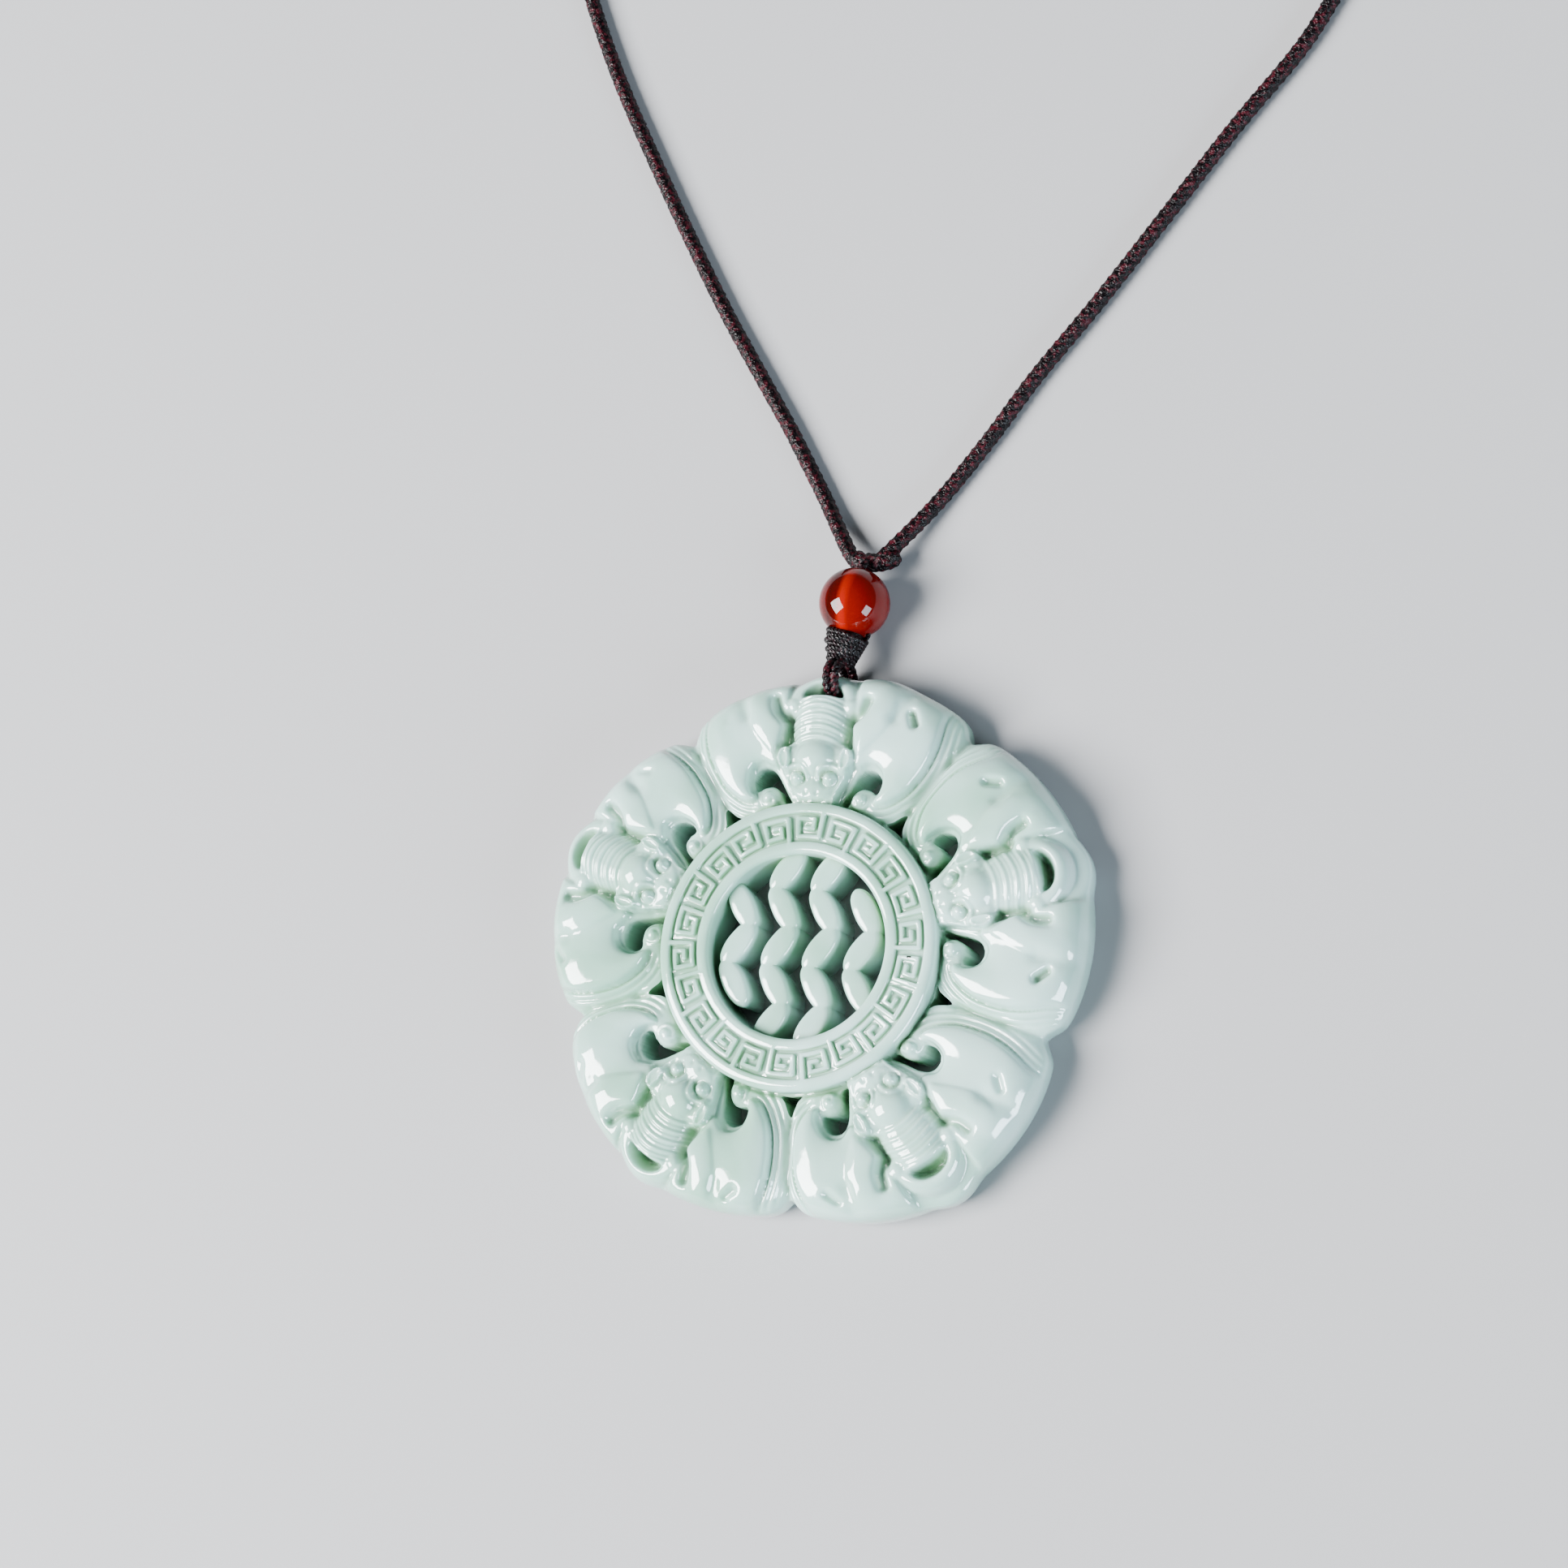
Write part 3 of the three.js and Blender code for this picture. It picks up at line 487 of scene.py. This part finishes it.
def head(u, v, z):
    a = np.abs(u)
    inside = span_to(u, v, HEAD)
    face = 4.5 + 1.2 * dome(inside, 0.9) + 0.3 * dome(inside, 2.8)
    face = over(face, 5.3 + 1.6 * dome(1.9 - np.hypot(u / 1.05, v - 17.0), 1.9), 0.25)
    face = over(face, 5.1 + 1.05 * dome(1.5 - np.hypot(u / 1.1, v - 13.9), 1.5), 0.25)
    eye = np.hypot(a - 1.5, v - 15.15)
    face = over(face, 5.6 + 0.85 * dome(0.62 - eye, 0.62), 0.1)
    face = face - groove(eye - 0.72, 0.13, 0.3)
    brow = span_to(a, v, smooth_line(((0.5, 15.2), (0.95, 15.95), (1.9, 16.2), (2.7, 15.7))), False)
    face = face + groove(brow, 0.2, 0.22) - groove(brow - 0.36, 0.12, 0.14)
    mouth = span_to(a, v, smooth_line(((0.2, 13.15), (0.8, 13.1), (1.5, 13.45))), False)
    nostril = np.hypot(a - 0.5, v - 13.75)
    face = face - groove(mouth, 0.12, 0.2) - groove(nostril, 0.2, 0.22)
    z = np.where(inside > 0, over(face, z, 0.1), z)
    inside = span_to(a, v, EAR)
    ear = 5.3 + 1.4 * dome(inside, 0.4) - 0.55 * ease((inside - 0.16) / 0.2)
    return np.where(inside > 0, over(ear, z, 0.1), z)


def curl(u, v, z):
    a = np.abs(u)
    far = np.hypot(a - 4.35, v - 13.4)
    z = over(z, 3.9 + 1.55 * dome(1.12 - far, 1.1), 0.08)
    turn = np.arctan2(v - 13.4, a - 4.35)
    return z - groove(far - 0.6 - 0.2 * turn / math.pi, 0.13, 0.34) * (far < 1.0)


def bats_height(x, y):
    u, v = on_bat(x, y)
    away, azimuth = np.hypot(x, y), np.arctan2(y, x)
    pit = PIT_DEPTHS[turn_gap(azimuth, BAT_AZIMUTHS)[1], (u > 0).astype(int)]
    z = tail_and_abdomen(u, v, wings(u, v))
    z = curl(u, v, head(u, v, z)) - hollows(u, v, pit)
    z = polished(z, 1)
    shore = -span_to(np.abs(u), v, KIDNEY)
    z = z - 0.5 * (1 - dome(shore, 0.4))
    # neighbours meet in a crease that widens to the notch
    crease = away * np.abs(np.sin(turn_gap(azimuth, notch_azimuths)[0]))
    z = z - groove(crease, 0.35, 0.55) * ease((away - 14.2) / 1.5)
    spread = foot_spread(azimuth)
    rim = outline_reach(azimuth) + spread - away
    z = WALL_TOP + (z - WALL_TOP) * (0.45 * dome(rim, 0.9 + spread) + 0.55 * dome(rim, 2.6 + 0.8 * spread))
    return z - groove(away - RING_OUTER - 0.1, 0.22, 0.3)


# the middle line of one fret spiral, which turns up and down by turns
FRET_BAND = np.array(((1.12, -1.4), (1.12, 0.82), (-1.02, 0.82), (-1.02, -0.78), (0.42, -0.78),
                      (0.42, 0.08), (-0.28, 0.08)))


def ring_height(x, y):
    away, azimuth = np.hypot(x, y), np.arctan2(y, x)
    middle = (RING_INNER + RING_OUTER) / 2
    step = azimuth / math.tau * FRET_COUNT % FRET_COUNT
    cell = np.floor(step)
    across = (0.5 - (step - cell)) * math.tau * middle / FRET_COUNT
    upward = (away - middle) * np.where(cell % 2 == 0, 1, -1)
    band = span_to(across, upward, FRET_BAND, False)
    raised = np.maximum(ease((0.26 - band) / 0.12), ease((np.abs(upward) - 1.24) / 0.12))
    z = RING_TOP - 0.4 + 0.4 * raised
    z = z - 0.6 * (1 - dome(RING_OUTER - away, 0.8)) - 0.4 * (1 - dome(away - RING_INNER, 0.5))
    return z


def rows_of_stone():
    """Closed rows round the stone's section, from the ring's inner edge over the face and back."""
    azimuth = np.arange(SECTORS + 1) * math.tau / SECTORS
    rim = outline_reach(azimuth) + foot_spread(azimuth)
    flat = np.ones_like(azimuth)
    away, height = [], []

    def add(distance, z):
        away.append(distance)
        height.append(z * flat)

    ring_away = np.linspace(RING_INNER, RING_OUTER, RING_ROWS)[:, None] * flat
    ring_z = ring_height(ring_away * np.cos(azimuth), ring_away * np.sin(azimuth))
    shares = np.linspace(0, 1, BAT_ROWS)
    shares = 1 - (1 - shares) * (1 - 0.35 * shares)
    bat_away = RING_OUTER + 0.02 + shares[:, None] * (rim - RING_OUTER - 0.02)
    bat_z = bats_height(bat_away * np.cos(azimuth), bat_away * np.sin(azimuth))
    for distance, z in list(zip(ring_away, ring_z)) + list(zip(bat_away, bat_z)):
        add(distance, z)
    for inset, z in WALL_PROFILE:
        add(rim - inset, z)
    for share in np.linspace(0.15, 1, 6):
        add((1 - share) * (rim - WALL_PROFILE[-1][0]) + share * (RING_INNER + 0.9), 0)
    for inset, z in RING_FOOT:
        add((RING_INNER + inset) * flat, z)
    away, height = np.array(away + away[:1]), np.array(height + height[:1])
    return np.stack([away * np.cos(azimuth), away * np.sin(azimuth), height], axis=-1) * MM


def raw_object(bm, name):
    rough = bpy.data.objects.new(name, mesh_of(bm, name))
    bpy.context.scene.collection.objects.link(rough)
    return rough


def settled(rough):
    """The mesh that an object's modifiers give. The object goes."""
    graph = bpy.context.evaluated_depsgraph_get()
    mesh = bpy.data.meshes.new_from_object(rough.evaluated_get(graph))
    bpy.data.objects.remove(rough)
    return mesh


def cut_or_join(rough, tool, operation):
    change = rough.modifiers.new(operation, "BOOLEAN")
    change.operation = operation
    change.solver = "MANIFOLD"
    change.object = tool
    mesh = settled(rough)
    bpy.data.objects.remove(tool)
    result = bpy.data.objects.new(mesh.name, mesh)
    bpy.context.scene.collection.objects.link(result)
    return result


def prism(bm, outline, low, high):
    """A straight-sided cutter over an outline."""
    verts = [bm.verts.new((x * MM, y * MM, low * MM)) for x, y in outline]
    face = bm.faces.new(verts)
    grown = bmesh.ops.extrude_face_region(bm, geom=[face])["geom"]
    tops = [part for part in grown if isinstance(part, bmesh.types.BMVert)]
    bmesh.ops.translate(bm, verts=tops, vec=(0, 0, (high - low) * MM))


def off_bat(line, bat, side=1):
    """An outline on a bat's axes, carried back to the stone's axes."""
    u, v = side * line[:, 0], line[:, 1]
    gap_after = (next_azimuths - BAT_AZIMUTHS)[bat] / 2
    gap_before = (next_azimuths - BAT_AZIMUTHS)[bat - 1] / 2
    fitted = u + lean_at(bat, v)
    true = fitted
    for _ in range(8):
        true = fitted * widened(true, np.where(true < 0, gap_after, gap_before))
    azimuth = BAT_AZIMUTHS[bat]
    x = v * math.cos(azimuth) + true * math.sin(azimuth)
    y = v * math.sin(azimuth) - true * math.cos(azimuth)
    return np.stack([x, y], axis=1)


def hole_cutters():
    bm = bmesh.new()
    for bat in range(5):
        for side in (-1, 1):
            prism(bm, off_bat(KIDNEY, bat, side), CUT_LOW, CUT_HIGH)
        turn = notch_azimuths[bat]
        x = CORNER[:, 1] * math.cos(turn) + CORNER[:, 0] * math.sin(turn)
        y = CORNER[:, 1] * math.sin(turn) - CORNER[:, 0] * math.cos(turn)
        prism(bm, np.stack([x, y], axis=1), CUT_LOW, CUT_HIGH)
    prism(bm, off_bat(HANG_HOLE, 0), HANG_HOLE_LOW, CUT_HIGH)
    face_outward(bm)
    return raw_object(bm, "hole_cutters")


def cord_channel():
    """At the back of the top tail, where the hanging cord goes round it."""
    bm = bmesh.new()
    bmesh.ops.create_cube(bm, size=1)
    bmesh.ops.scale(bm, verts=bm.verts, vec=CHANNEL_SIZE * MM)
    bmesh.ops.bevel(bm, geom=bm.edges[:], offset=0.5 * MM, segments=4, profile=0.5,
                    affect="EDGES", material=-1)
    bmesh.ops.translate(bm, verts=bm.verts, vec=CHANNEL_PLACE * MM)
    return raw_object(bm, "cord_channel")


def dab(x, y, lean, index):
    """One brush dab: a rounded leaf shape that stands up from near the stone's back."""
    long, wide = DAB_LENGTH / 2, DAB_WIDTH / 2
    leaf = smooth_line((
        (0, -long), (0.75 * wide, -0.7 * long), (wide, 0.1 * long), (0.7 * wide, 0.75 * long),
        (0, long), (-0.75 * wide, 0.7 * long), (-wide, -0.1 * long), (-0.7 * wide, -0.75 * long)), True)
    bm = bmesh.new()
    profile = [bm.verts.new((reach, 0, z)) for reach, z in DAB_PROFILE]
    edges = [bm.edges.new(pair) for pair in zip(profile, profile[1:])]
    bmesh.ops.spin(bm, geom=profile + edges, cent=(0, 0, 0), axis=(0, 0, 1), dvec=(0, 0, 0),
                   angle=math.tau, steps=len(leaf), use_merge=True)
    bmesh.ops.remove_doubles(bm, verts=bm.verts, dist=1e-5)
    for vert in bm.verts:
        reach = math.hypot(vert.co.x, vert.co.y)
        point = leaf[round(math.atan2(vert.co.y, vert.co.x) / math.tau * len(leaf)) % len(leaf)]
        u, v = reach * point[0], reach * point[1]
        vert.co.x = (x + u * math.cos(lean) - v * math.sin(lean)) * MM
        vert.co.y = (y + u * math.sin(lean) + v * math.cos(lean)) * MM
        vert.co.z *= MM
    face_outward(bm)
    return raw_object(bm, f"dab_{index}")


def openwork():
    """Rows of dabs that lean one way and the other, joined end to end."""
    rise = DAB_LENGTH * math.cos(DAB_LEAN) - DAB_OVERLAP
    whole = None
    for row in range(-2, 3):
        for k in range(4):
            x, y = (k - 1.5) * DAB_PITCH, row * rise
            if math.hypot(x, y) < RING_INNER:
                one = dab(x, y, DAB_LEAN if row % 2 else -DAB_LEAN, f"{row}_{k}")
                whole = cut_or_join(whole, one, "UNION") if whole else one
    return whole


def jade_material():
    """Polished nephrite: pale celadon with faint clouds, with painted shade: deeper green where the
    carving goes down.
    """
    material, nodes, links, shader = new_material("jade")
    place = nodes.new("ShaderNodeTexCoord")
    clouds = noise(nodes, links, place, Scale=75, Detail=3, Distortion=0.8)
    tint = colour_ramp(nodes, (0.36, 0.26, 0.46, 0.36), (0.64, 0.42, 0.61, 0.57))
    links.new(clouds.outputs["Fac"], tint.inputs["Fac"])
    # painted shade: an ambient occlusion test darkens the colour to deeper green in recesses, creases and
    # hole walls, where shade falls
    depth = nodes.new("ShaderNodeAmbientOcclusion")
    depth.only_local = True
    depth.samples = 8
    put(depth, Distance=0.0016)
    ramp = colour_ramp(nodes, (0.15, 0.50, 0.62, 0.40), (0.8, 1, 1, 1))
    links.new(depth.outputs["AO"], ramp.inputs["Fac"])
    tint_with_painted_shade = nodes.new("ShaderNodeMix")
    tint_with_painted_shade.data_type = "RGBA"
    tint_with_painted_shade.blend_type = "MULTIPLY"
    put(tint_with_painted_shade, Factor=1)
    links.new(tint.outputs["Color"], tint_with_painted_shade.inputs["A"])
    links.new(ramp.outputs["Color"], tint_with_painted_shade.inputs["B"])
    # one black speck of mineral on the ring
    speck = nodes.new("ShaderNodeVectorMath")
    speck.operation = "DISTANCE"
    speck.inputs[1].default_value = STONE_CENTRE + Vector((10.7, -0.4, 6.0)) * MM
    links.new(place.outputs["Object"], speck.inputs[0])
    spot = nodes.new("ShaderNodeMapRange")
    put(spot, From_Min=0.0002, From_Max=0.00028)
    links.new(speck.outputs["Value"], spot.inputs["Value"])
    speckled = nodes.new("ShaderNodeMix")
    speckled.data_type = "RGBA"
    put(speckled, A=(0.01, 0.012, 0.01, 1))
    links.new(spot.outputs["Result"], speckled.inputs["Factor"])
    links.new(tint_with_painted_shade.outputs["Result"], speckled.inputs["B"])
    links.new(speckled.outputs["Result"], shader.inputs["Base Color"])
    # the hand polish leaves a slight wave in every surface
    wave = noise(nodes, links, place, Scale=700, Detail=2)
    bumped(nodes, links, wave, shader, 0.5, 0.00006)
    put(shader, Roughness=0.10, IOR=1.61, Subsurface_Weight=0.5, Subsurface_Radius=(0.8, 1.0, 0.85),
        Subsurface_Scale=0.0016, Coat_Weight=1.0, Coat_Roughness=0.03)
    return material


stone_skin = raw_object(closed_skin(rows_of_stone()), "stone_skin")
stone_skin = cut_or_join(stone_skin, openwork(), "UNION")
stone_skin = cut_or_join(stone_skin, hole_cutters(), "DIFFERENCE")
stone_skin = cut_or_join(stone_skin, cord_channel(), "DIFFERENCE")
triangles = sum(len(face.vertices) - 2 for face in stone_skin.data.polygons)
thin = stone_skin.modifiers.new("thin", "DECIMATE")
thin.ratio = STONE_TRIANGLES / triangles
stone_mesh = settled(stone_skin)
stone_mesh.transform(Matrix.Translation(STONE_CENTRE))
piece_of(stone_mesh, "carved_stone", "pendant", slot="jade", material=jade_material())
stone_mesh.set_sharp_from_angle(angle=math.radians(60))

# The bead: a ball of clear orange-red agate, polished and drilled through. It sits above the stone
# on the thin cord, and the drilled bore shows in it as a lighter streak. Its colour also holds painted
# shade: darker over the left side, where the key light falls, than on the right.
BEAD_RADIUS, BORE_RADIUS = 3.25, 0.64
BEAD_PLACE = np.array((0.85, 32.1, 3.25))
BORE_FOOT = np.array((0.15, 26.2, 3.25))
bore_up = (BEAD_PLACE - BORE_FOOT) / np.linalg.norm(BEAD_PLACE - BORE_FOOT)
bore_side = np.cross(bore_up, (0, 0, 1))


def turned(profile, steps, name):
    """A closed profile of (reach, height) turned round the bore, with its zero at the bead's centre."""
    bm = bmesh.new()
    verts = [bm.verts.new((reach * MM, 0, height * MM)) for reach, height in profile]
    edges = [bm.edges.new(pair) for pair in zip(verts, verts[1:] + verts[:1])]
    bmesh.ops.spin(bm, geom=verts + edges, cent=(0, 0, 0), axis=(0, 0, 1), dvec=(0, 0, 0),
                   angle=math.tau, steps=steps, use_merge=True)
    face_outward(bm)
    mesh = mesh_of(bm, name)
    mesh.transform(Vector(bore_up).to_track_quat("Z", "X").to_matrix().to_4x4())
    mesh.transform(Matrix.Translation(STONE_CENTRE + Vector(BEAD_PLACE) * MM))
    return mesh


def agate_material():
    material, nodes, links, shader = new_material("agate")
    place = nodes.new("ShaderNodeTexCoord")
    across = nodes.new("ShaderNodeMapping")
    across.vector_type = "TEXTURE"
    put(across, Location=STONE_CENTRE + Vector(BEAD_PLACE - BEAD_RADIUS * bore_side) * MM,
        Rotation=(0, 0, math.atan2(bore_side[1], bore_side[0])), Scale=[2 * BEAD_RADIUS * MM] * 3)
    links.new(place.outputs["Object"], across.inputs["Vector"])
    split = nodes.new("ShaderNodeSeparateXYZ")
    links.new(across.outputs["Vector"], split.inputs["Vector"])
    # across the bead from left to right: painted shade over the left half, the lighter streak of the bore,
    # then a brighter right side
    ramp = colour_ramp(
        nodes, (0.1, 0.10, 0.002, 0.002), (0.28, 0.025, 0.0006, 0.0002), (0.40, 0.045, 0.0008, 0.0002),
        (0.47, 0.21, 0.005, 0.0004), (0.53, 0.20, 0.0035, 0.0004), (0.60, 0.12, 0.0014, 0.0003),
        (0.9, 0.12, 0.002, 0.0015))
    links.new(split.outputs["X"], ramp.inputs["Fac"])
    links.new(ramp.outputs["Color"], shader.inputs["Base Color"])
    put(shader, Roughness=0.04, IOR=1.54, Specular_IOR_Level=0.25, Subsurface_Weight=0.25,
        Subsurface_Radius=(1.0, 0.12, 0.04), Subsurface_Scale=0.0008)
    return material


mouth = math.asin((BORE_RADIUS + 0.14) / BEAD_RADIUS)
ball = [(BEAD_RADIUS * math.sin(angle), BEAD_RADIUS * math.cos(angle))
        for angle in np.linspace(mouth, math.pi - mouth, 57)]
depth = ball[0][1]
bore = [(BORE_RADIUS + 0.04, -depth + 0.03), (BORE_RADIUS, -depth + 0.14), (BORE_RADIUS, depth - 0.14),
        (BORE_RADIUS + 0.04, depth - 0.03)]
piece_of(turned(ball + bore, 96, "agate_bead"), "agate_bead_ball", "agate_bead",
         slot="agate", material=agate_material())

# The wrap under the bead: dark twisted thread wound crosswise over the cord in a cone, its top turns
# pulled up on the left.
WRAP_FOOT, WRAP_TOP = -6.0, -2.95
WRAP_RADII = (1.3, 2.08)
# turns, how far they lean, how far they stand out
WINDINGS = ((8, 0.34, 0), (3, -0.45, 0.04))
WRAP_THREAD = 0.15 * MM


def on_bore(height, reach, angle):
    """Places round the bore, in millimetres from the stone's centre."""
    out = bore_side * np.cos(angle)[:, None] + np.array((0, 0, 1)) * np.sin(angle)[:, None]
    return BEAD_PLACE + height[:, None] * bore_up + reach[:, None] * out


def laid(line):
    return np.asarray(line) * MM + centre


def two_ply(line, thread, pitch):
    """Two threads twisted together along a line."""
    sides, ups = frames_along(line)
    run = np.concatenate([[0], np.cumsum(np.linalg.norm(np.diff(line, axis=0), axis=1))])
    turn = (math.tau * run / pitch)[:, None]
    return [line + thread * way * (sides * np.cos(turn) + ups * np.sin(turn)) for way in (1, -1)]


def one_mesh(name, *meshes):
    bm = bmesh.new()
    for mesh in meshes:
        bm.from_mesh(mesh)
    return mesh_of(bm, name)


threads = []
share = np.linspace(0, 1, 800)
for turns, lean, out in WINDINGS:
    angle = share * turns * math.tau
    reach = WRAP_RADII[0] + (WRAP_RADII[1] - WRAP_RADII[0]) * share - 0.26 + out
    rise = WRAP_FOOT + 0.24 + (WRAP_TOP - WRAP_FOOT - 0.3) * share - lean * share * np.cos(angle)
    threads += two_ply(laid(on_bore(rise, reach, angle)), 0.12 * MM, 0.8 * MM)
sleeve_foot, sleeve_top = WRAP_FOOT + 0.1, WRAP_TOP + 0.05
sleeve = turned(((0.66, sleeve_foot), (0.95, sleeve_foot), (1.5, sleeve_top), (0.66, sleeve_top)),
                24, "sleeve")
wrap_thread = thread_material("wrap_thread", (0.0025, 0.0015, 0.002), (0.012, 0.004, 0.006), 0.3)
piece_of(
    one_mesh("wrap", sleeve, tube_mesh(threads, WRAP_THREAD, "windings")),
    "woven_wrap_threads", "woven_wrap", slot="braid", material=wrap_thread)

# The thin cord: two doubled threads that go round the top tail through its hollow, up through the
# wrap and the bead, and end in the knot that gathers both sides of the necklace cord.
LOOP_SIDE = 0.35
LOOP_THREAD, CORE_THREAD = 0.29 * MM, 0.26 * MM
KNOT_WIDE, KNOT_PITCH = 1.9 * MM, 5.2 * MM
LOOP_WAY = (
    (26.5, 3.7), (26.1, 4.7), (25.5, 5.55), (24.7, 5.9), (23.75, 5.6), (23.2, 4.6), (23.15, 3.2),
    (23.25, 1.9), (23.7, 1.0), (24.6, 0.66), (25.4, 0.95), (26.1, 1.8), (26.5, 2.8))
KNOT_WAY = ((-0.55, 36.95, 1.9), (0.5, 36.45, 2.0), (1.7, 36.3, 2.05), (2.9, 36.5, 2.0), (4.2, 37.1, 1.9))

threads = []
for side in (-1, 1):
    spread = np.interp([y for y, z in LOOP_WAY], (23.2, 26.0), (0.33, 0.42)) * side
    way = [(LOOP_SIDE + x, y, z) for x, (y, z) in zip(spread, LOOP_WAY)]
    strand = even_line(smooth_line(way), 0.12)
    threads += two_ply(laid(strand), 0.16 * MM, 1.3 * MM)
core_line = even_line(on_bore(np.array((-5.8, 4.1)), np.zeros(2), np.zeros(2)), 0.12)
threads += two_ply(laid(core_line), 0.26 * MM, 2.4 * MM)
knot_line = laid(even_line(smooth_line(KNOT_WAY), 0.15))
knot_ends = np.minimum(np.linspace(0, 1, len(knot_line)), np.linspace(1, 0, len(knot_line)))
knot_width = KNOT_WIDE * (0.5 + 0.5 * dome(knot_ends, 0.2))
knot = mesh_of(closed_skin(round_braid(knot_line, knot_width, KNOT_PITCH)), "knot")
piece_of(
    one_mesh("hanging", tube_mesh(threads[:4], LOOP_THREAD, "loop"),
             tube_mesh(threads[4:], CORE_THREAD, "core"), knot),
    "hanging_cord_threads", "hanging_cord", slot="braid", material=braid_thread)

# Studio: a plain pale floor under the piece, a wide soft light on the left and a cooler window
# light low on the right.
floor_bm = bmesh.new()
bmesh.ops.create_grid(floor_bm, x_segments=1, y_segments=1, size=1.5)
floor = raw_object(floor_bm, "floor")
floor_material, nodes, links, shader = new_material("floor_paper")
put(shader, Base_Color=(0.31, 0.31, 0.32, 1), Roughness=0.7)
floor.data.materials.append(floor_material)


def area_light(name, place, size, power, colour=(1, 1, 1)):
    """A lamp that faces the origin."""
    light = bpy.data.lights.new(name, "AREA")
    light.shape = "RECTANGLE"
    light.size, light.size_y = size
    light.energy = power
    light.color = colour
    lamp = bpy.data.objects.new(name, light)
    lamp.location = place
    lamp.rotation_euler = (-Vector(place)).to_track_quat("-Z", "Y").to_euler()
    bpy.context.scene.collection.objects.link(lamp)


area_light("soft_key", (-0.78, -0.36, 0.84), (0.76, 0.76), 88)
area_light("window", (1.0, -0.56, 0.40), (0.60, 0.50), 25, (0.72, 0.87, 1))
world = bpy.data.worlds.new("studio")
world.use_nodes = True
put(world.node_tree.nodes["Background"], Color=(0.86, 0.9, 0.95, 1), Strength=0.16)
bpy.context.scene.world = world
